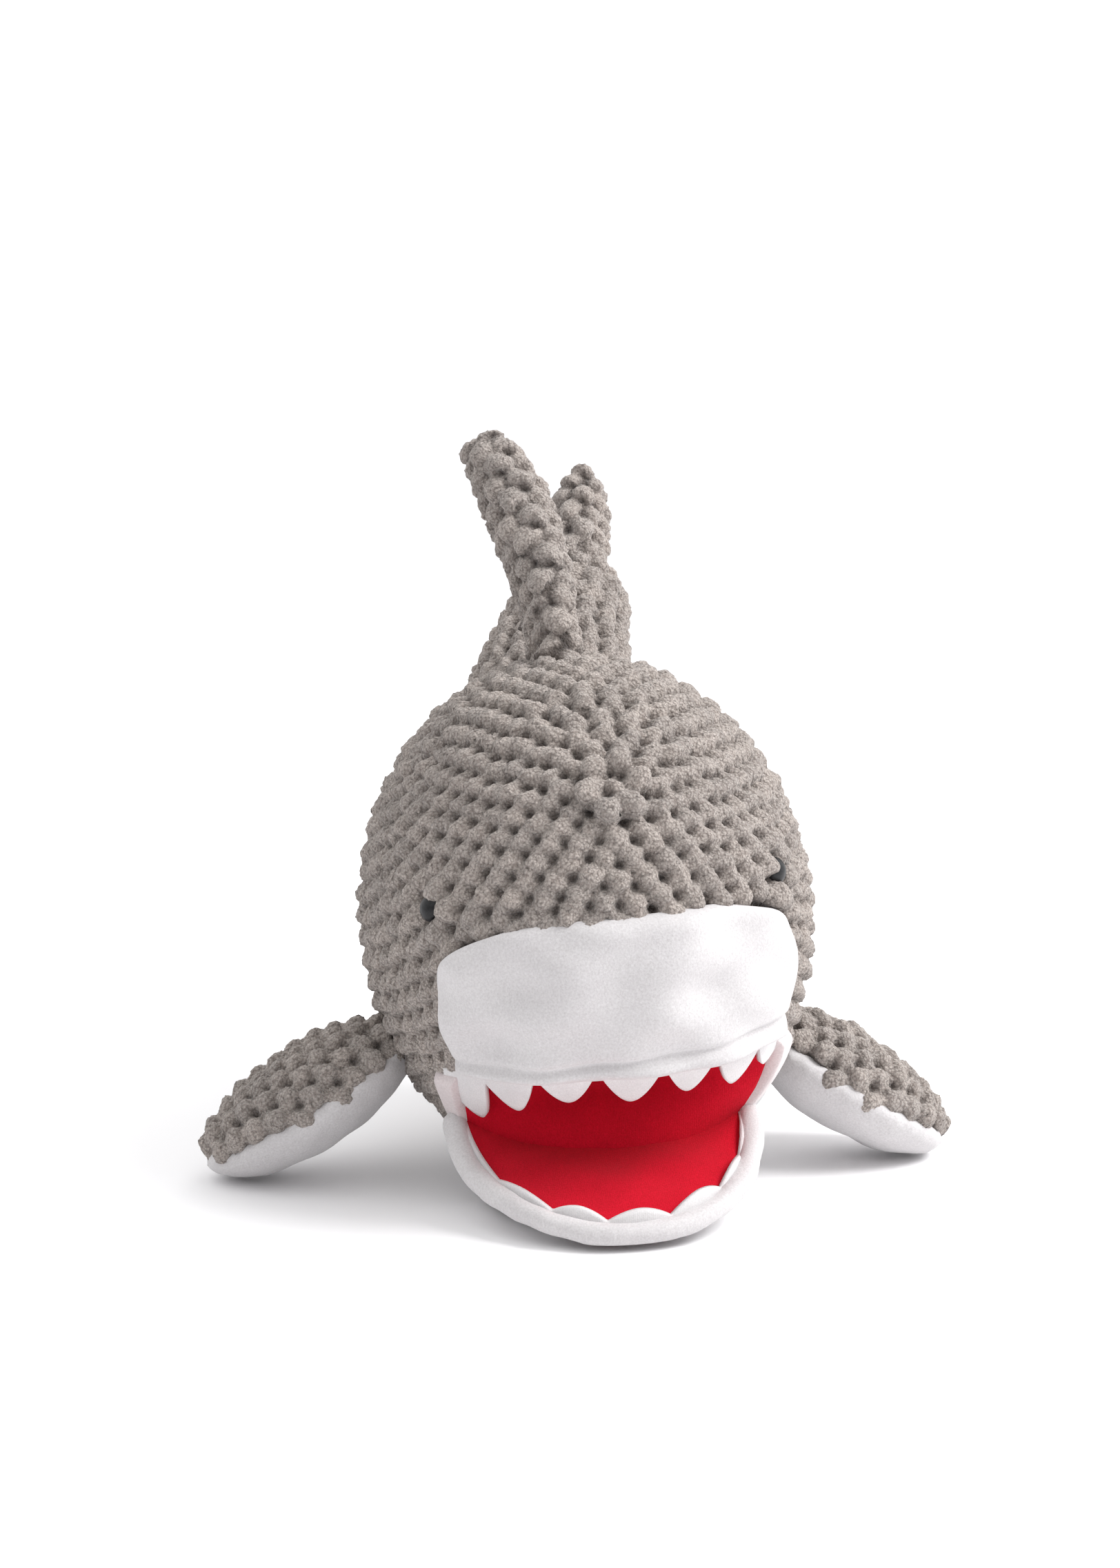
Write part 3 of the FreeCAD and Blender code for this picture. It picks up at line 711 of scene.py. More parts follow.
tail_joint = lean(RUMP_SECTIONS[2][1])
joint_axis = LEAN @ rising(RUMP_SECTIONS[2][2])[:, 2]
joint_radius = RUMP_SECTIONS[2][0]
stem_end = np.array(STEM_END[1])
end_axis = rising(STEM_END[2], TAIL_TURN)[:, 2]
nose_rise = math.radians(NOSE_RISE)
nose_axis = LEAN @ turn(Z, NOSE_YAW) @ np.array((0.0, -math.cos(nose_rise), math.sin(nose_rise)))
seam_axis = LEAN @ rising(RUMP_SECTIONS[1][2])[:, 2]
seam_point = lean(TAIL_SEAM_POINT)

SNOUT_LEFT, SNOUT_RIGHT = -49.5, 52.5
SNOUT_BOTTOM, SNOUT_TOP = 57.0, 119.5
MM_PER_DEGREE = 1.6
CHEEK_BACK_Y = -46.0
MOUTH_SIDE_ANGLE, CHEEK_SIDE_ANGLE = 54.0, 59.5
SNOUT_OVERLAP = 3.4
BELLY_TOP = 20.0
BELLY_CLIMB = 13.0


def belly_top(x, y):
    """The height of the belly panel's edge, which climbs towards the mouth."""
    forward = (EGG_CENTRE[1] - y) / EGG_HALF[1]
    forward = forward / np.maximum(np.hypot(x / EGG_HALF[0], forward), 1e-6)
    return BELLY_TOP + BELLY_CLIMB * smoothstep(-0.1, 0.5, forward)


def egg_point(around, height, out):
    """The body's surface at an angle round from the nose and a height, moved out along its normal."""
    around = np.radians(np.asarray(around, dtype=float))
    height = np.asarray(height, dtype=float)
    level = np.sqrt(np.maximum(1.0 - ((height - EGG_CENTRE[2]) / EGG_HALF[2]) ** 2, 0.0))
    x = EGG_HALF[0] * level * np.sin(around)
    y = -EGG_HALF[1] * level * np.cos(around)
    offset = np.stack((x, y, height - EGG_CENTRE[2]), axis=-1)
    normal = unit(offset / EGG_HALF**2)
    return lean(EGG_CENTRE + offset + np.asarray(out, dtype=float)[..., None] * normal)


def egg_angles(point):
    """The angle round from the nose and the height of a point near the body's surface."""
    x, y, z = upright(point)
    return math.degrees(math.atan2(x / EGG_HALF[0], -(y - EGG_CENTRE[1]) / EGG_HALF[1])), z


SNOUT_ANGLE = 0.5 * (SNOUT_LEFT + SNOUT_RIGHT)
SNOUT_HALF_ANGLE = 0.5 * (SNOUT_RIGHT - SNOUT_LEFT)
SNOUT_MIDDLE = 0.5 * (SNOUT_TOP + SNOUT_BOTTOM)
SNOUT_HALF_HEIGHT = 0.5 * (SNOUT_TOP - SNOUT_BOTTOM)


def snout_narrowing(across, level):
    """How far the panel's sides draw in at a level from -1, its lower seam, to 1, its top."""
    level = np.asarray(level)
    corner = np.where(np.asarray(across) < 0.0, 0.05, 0.16)
    return 1.0 - np.where(level > 0.0, 0.36 * np.abs(level) ** 3.4, corner * np.abs(level) ** 5.0)


def snout_lowering(across, level):
    """How far the panel's top and bottom draw in at a place from -1 to 1 across it."""
    return 1.0 - np.abs(across) ** 5.0 * np.where(np.asarray(level) > 0.0, 0.16, 0.05)


def on_snout(point, margin):
    """Whether a point lies on the snout panel, drawn in by a margin in millimetres."""
    around, height = egg_angles(point)
    across = (around - SNOUT_ANGLE) / SNOUT_HALF_ANGLE
    level = (height - SNOUT_MIDDLE) / SNOUT_HALF_HEIGHT
    if abs(level) > 1.0 or abs(across) > 1.0:
        return False
    side = snout_narrowing(across, level) - margin / (SNOUT_HALF_ANGLE * MM_PER_DEGREE)
    top = snout_lowering(across, level) - margin / SNOUT_HALF_HEIGHT
    return abs(across) < side and abs(level) < top


EYE_CLEARANCES = (5.8, 6.9)
eye_boxes = [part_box(f"{word}_eye") for word in ("left", "right")]
eye_places = [np.array(0.5 * (low + high) / MM) for low, high in eye_boxes]


def on_body(point):
    """Whether the body's crochet has a stitch here."""
    x, y, z = upright(point)
    if z < belly_top(x, y) + 1.0 or on_snout(point, SNOUT_OVERLAP):
        return False
    around = abs(egg_angles(point)[0])
    if z < SNOUT_BOTTOM + 7.0 and around < MOUTH_SIDE_ANGLE:
        return False
    if z < SNOUT_BOTTOM - 2.0 and (around < CHEEK_SIDE_ANGLE or (y < CHEEK_BACK_Y and z < 40.0)):
        return False
    for place, clearance in zip(eye_places, EYE_CLEARANCES):
        if np.linalg.norm(point - place) < clearance:
            return False
    return (point - tail_joint) @ joint_axis < 1.0


def on_front(point):
    """Whether the rows round the nose have a stitch here."""
    return on_body(point) and (point - seam_point) @ seam_axis < 0.0


def on_rump(point):
    """Whether the rows along the rump have a stitch here."""
    return on_body(point) and (point - seam_point) @ seam_axis >= 0.0


def body_base():
    """The egg and rump that the stitches lie on, with the mouth's space cut out."""
    rump = loft([section_ring(radius, centre, rising(rise)) for radius, centre, rise in RUMP_SECTIONS])
    egg = ellipsoid(EGG_HALF - BASE_INSET, EGG_CENTRE, segments=72, rings=48)
    ball = ellipsoid((joint_radius - BASE_INSET,) * 3, tail_joint)
    half = EGG_HALF - BASE_INSET
    upright_nose = LEAN.T @ nose_axis
    tip = lean(EGG_CENTRE + half**2 * upright_nose / np.linalg.norm(half * upright_nose))
    side = unit(np.cross(nose_axis, Z))
    nose_frame = np.stack((side, np.cross(nose_axis, side), nose_axis), axis=-1)
    bump = ellipsoid(NOSE_BUMP_HALF, tip + (NOSE_BUMP - NOSE_BUMP_HALF[2]) * nose_axis, nose_frame)
    points, faces = merged([(lean(egg[0]), egg[1]), rump, ball, bump], BASE_VOXEL, 8)
    local = upright(points)
    wall = MOUTH_WALL_Y - 8.0 * smoothstep(30.0, 48.0, local[:, 2])
    roof = MOUTH_ROOF_Z + 14.0 * smoothstep(0.0, 24.0, -60.0 - local[:, 1])
    in_mouth = (local[:, 1] < wall) & (local[:, 2] < roof)
    up = roof - local[:, 2]
    back = wall - local[:, 1]
    raise_it = in_mouth & (up < back)
    push_it = in_mouth & ~raise_it
    local[raise_it, 2] = roof[raise_it]
    local[push_it, 1] = wall[push_it]
    points = lean(local)
    points[:, 2] = np.maximum(points[:, 2], 2.6)
    return points, faces


def nose_rosette():
    """A ring of six raised stitches round one in the middle of the nose."""
    side = unit(np.cross(nose_axis, Z))
    other = np.cross(nose_axis, side)
    stitches = [(nose_tip, nose_axis, side, 1.0, 1.0)]
    for number in range(6):
        angle = math.radians(60.0 * number + 12.0)
        spoke = ROSETTE_HALF[0] * math.cos(angle) * side + ROSETTE_HALF[1] * math.sin(angle) * other
        place = np.array(body_tree.find_nearest(Vector(nose_tip + spoke))[0])
        stitches.append((place, nose_axis, np.cross(unit(spoke), nose_axis), 2.4, 1.12))
    return stitches


def nose_rows():
    """Even rows round the nose over the whole egg."""
    rows = []
    for arc in np.arange(16.6, math.pi * NOSE_RADIUS, ROW_SPACING):
        depth = NOSE_BUMP + NOSE_RADIUS * (1.0 - math.cos(arc / NOSE_RADIUS))
        rows.append((nose_tip - nose_axis * depth, -nose_axis, 0.0, 1.0))
    return rows


def round_eyes(stitches):
    """The stitches, with those beside an eye raised so that the bead sits in a dimple."""
    raised = []
    for place, normal, along, lift, swell in stitches:
        near = min(np.linalg.norm(place - eye) for eye in eye_places)
        raised.append((place, normal, along, lift + 2.6 * float(1.0 - smoothstep(8.5, 14.0, near)), swell))
    return raised


def thinned(groups):
    """All the groups' stitches, without later ones that crowd an earlier one."""
    kept = []
    places = np.empty((0, 3))
    for group in groups:
        fresh = [stitch for stitch in group if not len(places)
                 or np.min(np.sum((places - stitch[0]) ** 2, axis=1)) > CLOSEST_STITCH**2]
        kept += fresh
        places = np.array([stitch[0] for stitch in kept])
    return kept


body_form = body_base()
body_tree = tree_of(body_form)
nose_tip = body_form[0][np.argmax(body_form[0] @ nose_axis)]
rump_line = [lean(centre) for radius, centre, rise in RUMP_SECTIONS]
front_stitches = laid(body_tree, nose_rows(), on_front)
rump_stitches = laid(body_tree, spine_rows(rump_line, RUMP_ROW_SPACING), on_rump)
body_stitches = thinned([nose_rosette(), front_stitches, rump_stitches])
body_stitches = round_eyes(filled(body_form, body_tree, body_stitches, on_body))
body_cover = crocheted("body_cover_crochet", body_form, body_stitches, floor=0.4)

stem_sections = [
    ring(radius - BASE_INSET, radius - BASE_INSET, centre, rising(rise, yaw))
    for radius, centre, rise, yaw in ((joint_radius, tuple(tail_joint), 35.0, 0.0), STEM_MIDDLE, STEM_END)
]
stem_form = merged(
    [
        ellipsoid((joint_radius - BASE_INSET - 0.8,) * 3, tail_joint),
        loft(stem_sections),
        ellipsoid((STEM_END[0] - BASE_INSET,) * 3, stem_end),
    ],
    BASE_VOXEL,
    5,
)


def on_stem(point):
    """Whether the tail stem has a stitch here."""
    return (point - tail_joint) @ joint_axis >= 1.0 and (point - stem_end) @ end_axis < 3.0


stem_line = [tail_joint, np.array(STEM_MIDDLE[1]), stem_end]
stem_tree = tree_of(stem_form)
stem_stitches = laid(stem_tree, spine_rows(stem_line, STEM_ROW_SPACING), on_stem)
stem_stitches = filled(stem_form, stem_tree, stem_stitches, on_stem)
tail_stem_cover = crocheted("tail_stem_crochet", stem_form, stem_stitches)
for cover in (body_cover, tail_stem_cover):
    blend_along(cover)
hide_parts("body_cover", "body_stuffing")
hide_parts("tail_stem_cover", "tail_stem_stuffing")


# Tail fin: two lobes on the end of the stem

def lobe(level, half, reach, rise, hub):
    """One lobe of the tail fin; the one with the hub also caps the stem's end."""
    rotation = rising(rise, TAIL_TURN)
    axis = rotation[:, 2]
    centre = stem_end + reach * axis
    parts = [ellipsoid(np.array(half) - BASE_INSET + 0.6, centre, rotation)]
    if hub:
        parts.append(ellipsoid((STEM_END[0] - BASE_INSET - 0.6,) * 3, stem_end))
    form = merged(parts, FIN_VOXEL, 4)

    def keep(point):
        beyond = (point - stem_end) @ end_axis
        clear = np.linalg.norm(point - stem_end) > STEM_END[0] - 8.0
        return beyond > -4.0 and (hub or clear)

    tree = tree_of(form)
    stitches = laid(tree, fin_rows(form, stem_end, axis, LOBE_ROW_SPACING, LOBE_SWELL), keep)
    cover = crocheted(f"tail_fin_{level}_crochet", form, filled(form, tree, stitches, keep))
    blend_along(cover)
    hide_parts(f"tail_fin_{level}_lobe_cover", f"tail_fin_{level}_lobe_stuffing")


lobe("upper", *UPPER_LOBE, hub=True)
lobe("lower", *LOWER_LOBE, hub=False)


# Dorsal fin: tall and leaning, with large stitches

DORSAL_BASE = np.array((0.0, 22.0, 196.5))
DORSAL_SLOPE = 14.0
DORSAL_ASIDE = 15.0
# Height, half chord, half thickness and sweep of each section
DORSAL_LEVELS = (
    (-20.0, 36.0, 13.0, -3.0),
    (47.0, 26.0, 14.0, 6.0),
    (80.0, 17.0, 13.5, 14.0),
    (90.0, 12.0, 11.0, 16.0),
)
dorsal_turn = turn(X, -DORSAL_SLOPE)


def dorsal_centre(height, sweep):
    """The middle of the fin's section at a height, swept back and bent aside."""
    upward = dorsal_turn @ np.array((0.0, sweep, height))
    aside = -DORSAL_ASIDE * max(height / 90.0, 0.0) ** 2.2
    return DORSAL_BASE + upward + np.array((aside, 0.0, 0.0))


dorsal_rings = [
    lean(ring(thickness - BASE_INSET, chord - BASE_INSET, dorsal_centre(height, sweep), dorsal_turn))
    for height, chord, thickness, sweep in DORSAL_LEVELS
]
dorsal_form = merged([loft(dorsal_rings)], FIN_VOXEL, 5)
dorsal_tree = tree_of(dorsal_form)
dorsal_foot = lean(dorsal_centre(0.0, 0.0))
dorsal_axis = unit(lean(dorsal_centre(90.0, 16.0)) - dorsal_foot)


def on_dorsal(point):
    """Whether the dorsal fin has a stitch here."""
    return (point - dorsal_foot) @ dorsal_axis > -14.0


dorsal_rows = fin_rows(dorsal_form, dorsal_foot, dorsal_axis, DORSAL_ROW_SPACING, DORSAL_SWELL)
dorsal_stitches = laid(dorsal_tree, dorsal_rows, on_dorsal, closest=DORSAL_CLOSEST)
dorsal_stitches = filled(dorsal_form, dorsal_tree, dorsal_stitches, on_dorsal, gap=DORSAL_GAP)
dorsal_cover = crocheted("dorsal_fin_crochet", dorsal_form, dorsal_stitches)
blend_along(dorsal_cover)
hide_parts("dorsal_fin_cover", "dorsal_fin_stuffing")


# Pectoral fins: crochet above and fleece below

PECTORAL_CENTRE = np.array((105.5, -8.0, 31.5))
PECTORAL_HALF = np.array((48.0, 34.0, 20.5))
PECTORAL_DROOP = 32.0


def pectoral(side, word):
    """A side fin that droops to the floor, crochet over fleece."""
    centre = PECTORAL_CENTRE * np.array((side, 1.0, 1.0)) - 2.5 * X
    rotation = turn(Y, side * PECTORAL_DROOP) @ turn(Z, 90.0 - side * 90.0)
    outward = rotation[:, 0]
    above = rotation[:, 2]
    form = merged([ellipsoid(PECTORAL_HALF - BASE_INSET, centre, rotation)], FIN_VOXEL, 2)
    points = form[0]
    sunk = np.minimum((points - centre) @ above, 0.0)
    points -= 0.75 * sunk[:, None] * above
    depths = [0.8, 5.0] + list(np.arange(12.5, 86.0, PECTORAL_ROW_SPACING))
    length = PECTORAL_HALF[0] - BASE_INSET
    rows = [(centre + outward * (length - depth), -outward, 0.0, 1.0) for depth in depths]

    def keep(point, edge=-0.5):
        return point[2] > 6.0 and (point - centre) @ above > edge and (point - centre) @ outward > -45.0

    def within(point):
        return keep(point, edge=3.0)

    tree = tree_of(ellipsoid(PECTORAL_HALF - BASE_INSET, centre, rotation))
    stitches = filled(form, tree, laid(tree, rows, keep), within)
    top = crocheted(f"{word}_pectoral_crochet", form, stitches, floor=0.4)
    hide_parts(f"{word}_pectoral_fin_top", f"{word}_pectoral_fin_stuffing")

    under, faces = merged([ellipsoid(PECTORAL_HALF - 0.6, centre, rotation)], FIN_VOXEL, 2)
    local = (under - centre) @ rotation
    over = local[:, 2] > 0.0
    local[over, 2] *= 0.3
    local[over, :2] *= 0.97
    edge = smoothstep(0.75, 1.0, np.hypot(local[:, 0] / PECTORAL_HALF[0], local[:, 1] / PECTORAL_HALF[1]))
    local[:, 2] -= 0.5 * ripple(local, 22.0, 31) + 0.5 * edge * ripple(local, 9.0, 32)
    under = local @ rotation.T + centre
    under[:, 2] = np.maximum(under[:, 2], 0.3)
    underside = shown(f"{word}_pectoral_fleece", (under, faces), FLEECE)
    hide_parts(f"{word}_pectoral_fin_underside")
    for cover in (top, underside):
        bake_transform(cover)


pectoral(1.0, "left")
pectoral(-1.0, "right")


# Snout panel, teeth, cheeks and belly

def snout_panel():
    """A plump fleece panel across the snout, folded softly above its lower seam."""
    columns, rows = 150, 84
    across = np.linspace(-1.0, 1.0, columns)[None, :]
    up = np.linspace(0.0, 1.0, rows)[:, None]
    level = 2.0 * up - 1.0
    around = SNOUT_ANGLE + SNOUT_HALF_ANGLE * across * snout_narrowing(across, level)
    height = SNOUT_MIDDLE + SNOUT_HALF_HEIGHT * level * snout_lowering(across, level)
    inward = np.minimum(
        (1.0 - np.abs(across)) * SNOUT_HALF_ANGLE * MM_PER_DEGREE,
        (1.0 - np.abs(level)) * SNOUT_HALF_HEIGHT,
    )
    plump = 1.0 - (1.0 - np.clip(inward / 9.0, 0.0, 1.0)) ** 2.4
    above_seam = (level + 1.0) * SNOUT_HALF_HEIGHT
    overhang = 2.8 * np.exp(-((above_seam - 3.8) / 3.2) ** 2)
    fold = -1.9 * np.exp(-((above_seam - 9.2 - 1.6 * across) / 1.5) ** 2)
    flat = np.stack((around * MM_PER_DEGREE, height, 0.0 * height), axis=-1).reshape(-1, 3)
    creases = 1.3 * ripple(flat * (0.3, 1.0, 1.0), 15.0, 41).reshape(around.shape)
    dents = 1.5 * ripple(flat, 34.0, 42).reshape(around.shape)
    out = -2.8 + plump * (5.4 + overhang + fold + creases + dents)
    front = egg_point(around, height, out)
    back = egg_point(around, height, np.full_like(out, -BASE_INSET - 0.8))
    panel = shown("snout_fleece_panel", slab(front, back), FLEECE)
    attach(panel, "torso")
    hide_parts("snout_panel")


UPPER_TOOTH_EDGES = (-55.0, -41.0, -25.5, -9.0, 8.5, 25.0, 40.0, 52.0)
UPPER_TOOTH_GUMS = (50.0, 55.5, 60.5, 61.5, 61.0, 60.5, 58.5, 53.0)
UPPER_TOOTH_TIPS = (38.5, 44.5, 49.0, 47.5, 48.0, 45.5, 48.5)
LOWER_TOOTH_EDGES = (-88.0, -56.0, -30.0, -8.0, 18.0, 45.0, 66.0, 88.0)
LOWER_TOOTH_HEIGHTS = (2.6, 3.4, 4.6, 5.0, 5.4, 3.6, 2.6)
SEAM_TUCK = 5.5


def tooth_edge(around, edges, gums, tips):
    """A scalloped edge: each tooth rounded at its tip, with a sharp notch beside it."""
    gum = np.interp(around, edges, gums)
    number = np.clip(np.searchsorted(edges, around, side="right") - 1, 0, len(tips) - 1)
    start = np.take(edges, number)
    share = (around - start) / (np.take(edges, number + 1) - start)
    bulge = 1.0 - np.abs(2.0 * np.clip(share, 0.0, 1.0) - 1.0) ** 1.85
    return gum + bulge * (np.take(tips, number) - gum)


def upper_teeth():
    """A strip of white felt under the snout panel, cut into seven teeth."""
    columns, rows = 260, 14
    around = np.linspace(UPPER_TOOTH_EDGES[0], UPPER_TOOTH_EDGES[-1], columns)[None, :]
    tip = tooth_edge(around[0], UPPER_TOOTH_EDGES, UPPER_TOOTH_GUMS, UPPER_TOOTH_TIPS)[None, :]
    share = np.linspace(0.0, 1.0, rows)[:, None]
    top = SNOUT_BOTTOM + 5.5 - 3.0 * (np.abs(around) / 53.0) ** 3
    height = tip + (top - tip) * share
    around = around + 0.0 * height
    curl = 0.5 * np.sin(np.radians(around * 11.0)) * (1.0 - share)
    front = egg_point(around, height, -1.7 + curl)
    back = egg_point(around, height, -3.7 + curl)
    strip = shown("upper_felt_teeth", slab(front, back), WHITE_FELT)
    felt_sheet(front)
    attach(strip, "torso")
    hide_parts("upper_teeth")


def jaw_surface_z(y):
    """The height of the jaw's sloping top."""
    return HINGE[2] - math.tan(math.radians(JAW_SLOPE)) * (HINGE[1] - y)


def jaw_corner_rise(across, y):
    """How far the bed and rim turn up beside the hinge, at a place from -1 to 1 across the jaw."""
    return 7.0 * np.abs(across) ** 3.0 * np.exp(-(((HINGE[1] - y) / 17.0) ** 2))


def jaw_curve(around, half_width, half_length):
    """A point of the jaw's rounded outline, at an angle round from its front."""
    around = np.radians(around)
    x = half_width * np.sin(around)
    y = HINGE[1] - half_length * np.cos(around)
    return x, y


def jaw_cover():
    """The lower jaw: a flat-bottomed fleece cushion with a thick rolled rim."""
    inside = (JAW_HALF[0] - 2.0, JAW_HALF[1] - 2.0, JAW_HALF[2] - 2.0)
    bowl, faces = ellipsoid(inside, HINGE, segments=64, rings=48)
    bowl[:, 1] = np.minimum(bowl[:, 1], HINGE[1] - 1.0)
    bowl[:, 2] = np.clip(bowl[:, 2], 1.2, jaw_surface_z(bowl[:, 1]) - 1.2)
    beads = []
    for around in np.linspace(-87.0, 87.0, 90):
        x, y = jaw_curve(around, JAW_HALF[0] - 5.0, JAW_HALF[1] - 5.0)
        front = math.cos(math.radians(around))
        radius = 5.2 - 0.9 * front
        z = max(jaw_surface_z(y) - 0.4 + jaw_corner_rise(x / JAW_HALF[0], y), radius + 0.4)
        beads.append(ellipsoid((radius,) * 3, (x, y, z), segments=16, rings=12))
    points, faces = merged([(bowl, faces)] + beads, 1.5, 6)
    away = unit(points - HINGE)
    points += 0.45 * ripple(points, 19.0, 51)[:, None] * away
    points[:, 2] = np.maximum(points[:, 2], 0.3)
    cover = shown("lower_jaw_fleece", (points, faces), FLEECE)
    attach(cover, "lower_jaw")
    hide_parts("jaw_cover", "jaw_stuffing")


def lower_lining():
    """The red bed of the mouth, crowned a little and rolled down at the fold."""
    columns, rows = 110, 80
    across = np.linspace(-1.0, 1.0, columns)[None, :]
    depth = np.linspace(0.0, 1.0, rows)[:, None]
    half_width, half_length = JAW_HALF[0] - 7.5, JAW_HALF[1] - 7.5
    x = half_width * across + 0.0 * depth
    front_y = HINGE[1] - half_length * np.sqrt(np.maximum(1.0 - (x / (half_width + 0.3)) ** 2, 0.0))
    y = HINGE[1] + 1.5 + (front_y - HINGE[1] - 1.5) * depth
    centre_of_bed = (1.0 - across**2) * np.sin(math.pi * np.clip(depth, 0.0, 1.0))
    roll = -5.0 * np.exp(-(((HINGE[1] + 1.5) - y) / 3.2) ** 1.5)
    flat = np.stack((x, y, 0.0 * x), axis=-1).reshape(-1, 3)
    uneven = 0.5 * ripple(flat, 30.0, 61).reshape(x.shape)
    crown = 3.4 * centre_of_bed + roll + uneven * centre_of_bed
    z = jaw_surface_z(y) + 1.0 + crown + jaw_corner_rise(across, y)
    front = np.stack((x, y, z), axis=-1)
    back = front - np.array((0.0, 0.0, FELT_THICKNESS))
    bed = shown("lower_mouth_felt", slab(front[::-1], back[::-1]), RED_FELT)
    felt_sheet(front)
    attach(bed, "lower_jaw")
    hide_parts("lower_mouth_lining")


def lower_teeth():
    """A strip of white felt inside the jaw's rim, cut into low scallops."""
    columns, rows = 260, 10
    around = np.linspace(LOWER_TOOTH_EDGES[0], LOWER_TOOTH_EDGES[-1], columns)[None, :]
    gums = (0.6,) * len(LOWER_TOOTH_EDGES)
    tall = tooth_edge(around[0], LOWER_TOOTH_EDGES, gums, LOWER_TOOTH_HEIGHTS)[None, :]
    share = np.linspace(0.0, 1.0, rows)[:, None]
    rise = -SEAM_TUCK + (tall + SEAM_TUCK) * share
    tuck = 1.2 * share

    def face(inset):
        x, y = jaw_curve(around, JAW_HALF[0] - inset - tuck, JAW_HALF[1] - inset - tuck)
        z = jaw_surface_z(y) + 1.6 + rise + jaw_corner_rise(x / JAW_HALF[0], y)
        return np.stack((x, y, z), axis=-1)

    strip = shown("lower_felt_teeth", slab(face(6.4), face(8.2)), WHITE_FELT)
    felt_sheet(face(6.4))
    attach(strip, "lower_jaw")
    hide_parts("lower_teeth")


def upper_lining():
    """The red roof and back of the mouth, swelling forward to the fold above the jaw."""
    columns, rows = 110, 96
    across = np.linspace(-1.0, 1.0, columns)[None, :]
    roof_rows = 60
    back_y, back_z = PALATE_BACK
    grid = []
    for row in range(rows):
        if row < roof_rows:
            share = row / (roof_rows - 1)
            x = ROOF_HALF_WIDTH * across[0]
            z_guess = back_z + 6.0
            level = 1.0 - ((z_guess - EGG_CENTRE[2]) / EGG_HALF[2]) ** 2 - (x / (EGG_HALF[0] - 6.0)) ** 2
            front_y = EGG_CENTRE[1] - (EGG_HALF[1] - 6.0) * np.sqrt(np.maximum(level, 0.0))
            front_y = np.minimum(front_y, back_y - 0.5)
            y = front_y + (back_y - front_y) * share
            z = back_z + 13.0 * smoothstep(0.0, 26.0, back_y - y)
        else:
            share = (row - roof_rows + 1) / (rows - roof_rows)
            x = (ROOF_HALF_WIDTH - 4.0 * share) * across[0]
            bulge = (21.0 * np.sin(0.5 * math.pi * share) ** 1.4) * (1.0 - across[0] ** 2)
            y = back_y + (HINGE[1] - back_y) * share - bulge
            z = back_z + (HINGE[2] - 2.0 - back_z) * share
            under_fold = smoothstep(0.86, 1.0, share)
            z = z - 5.5 * (1.0 - across[0] ** 2) * smoothstep(0.3, 1.0, share) - 1.0 * under_fold
            y = y + 5.0 * under_fold * (1.0 - across[0] ** 2)
        grid.append(np.stack((x, y, z), axis=-1))
    upright_front = np.array(grid)
    settle = smoothstep(0.0, 0.8, (np.arange(rows) - roof_rows) / (rows - roof_rows))[:, None, None]
    front = (1.0 - settle) * lean(upright_front) + settle * upright_front
    centre = lean(np.array((0.0, -96.0, 40.0)))
    normals = unit(np.cross(np.gradient(front, axis=0), np.gradient(front, axis=1)))
    inward = np.sign(np.sum(normals * (centre - front), axis=-1, keepdims=True))
    back = front - FELT_THICKNESS * normals * np.where(inward == 0.0, 1.0, inward)
    lining = shown("upper_mouth_felt", slab(front[::-1], back[::-1]), RED_FELT)
    felt_sheet(front)
    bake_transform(lining)
    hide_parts("upper_mouth_lining")


def cheek(side, word):
    """The fleece web at a corner of the mouth, from the snout panel down to the jaw's rim."""
    columns, rows = 26, 44
    across = np.linspace(0.0, 1.0, columns)[None, :]
    drop = np.linspace(0.0, 1.0, rows)[:, None]
    height = 57.0 - 33.0 * drop + 0.0 * across
    bow = np.sin(math.pi * drop)
    front_angle = 49.5 + 3.0 * bow
    back_angle = 58.5 + 2.0 * bow
    around = side * (front_angle + (back_angle - front_angle) * across)
    edge = np.minimum(np.minimum(across, 1.0 - across) * 30.0, np.minimum(drop, 1.0 - drop) * 48.0)
    plump = 1.0 - (1.0 - np.clip(edge / 5.0, 0.0, 1.0)) ** 2.0
    out = -2.6 + 3.8 * plump
    front = egg_point(around, height, out)
    back = egg_point(around, height, out - 2.4 - 6.0 * plump)
    settle = smoothstep(0.2, 1.0, drop)[:, :, None]
    front = (1.0 - settle) * front + settle * upright(front)
    back = (1.0 - settle) * back + settle * upright(back)
    if side < 0.0:
        front, back = front[:, ::-1], back[:, ::-1]
    # The cheek webs take the pink-tinted fleece, which paints in red light reflected from the mouth.
    web = shown(f"{word}_cheek_fleece", slab(front[::-1], back[::-1]), RED_BOUNCE_FLEECE)
    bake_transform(web)
    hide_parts(f"{word}_cheek_panel")


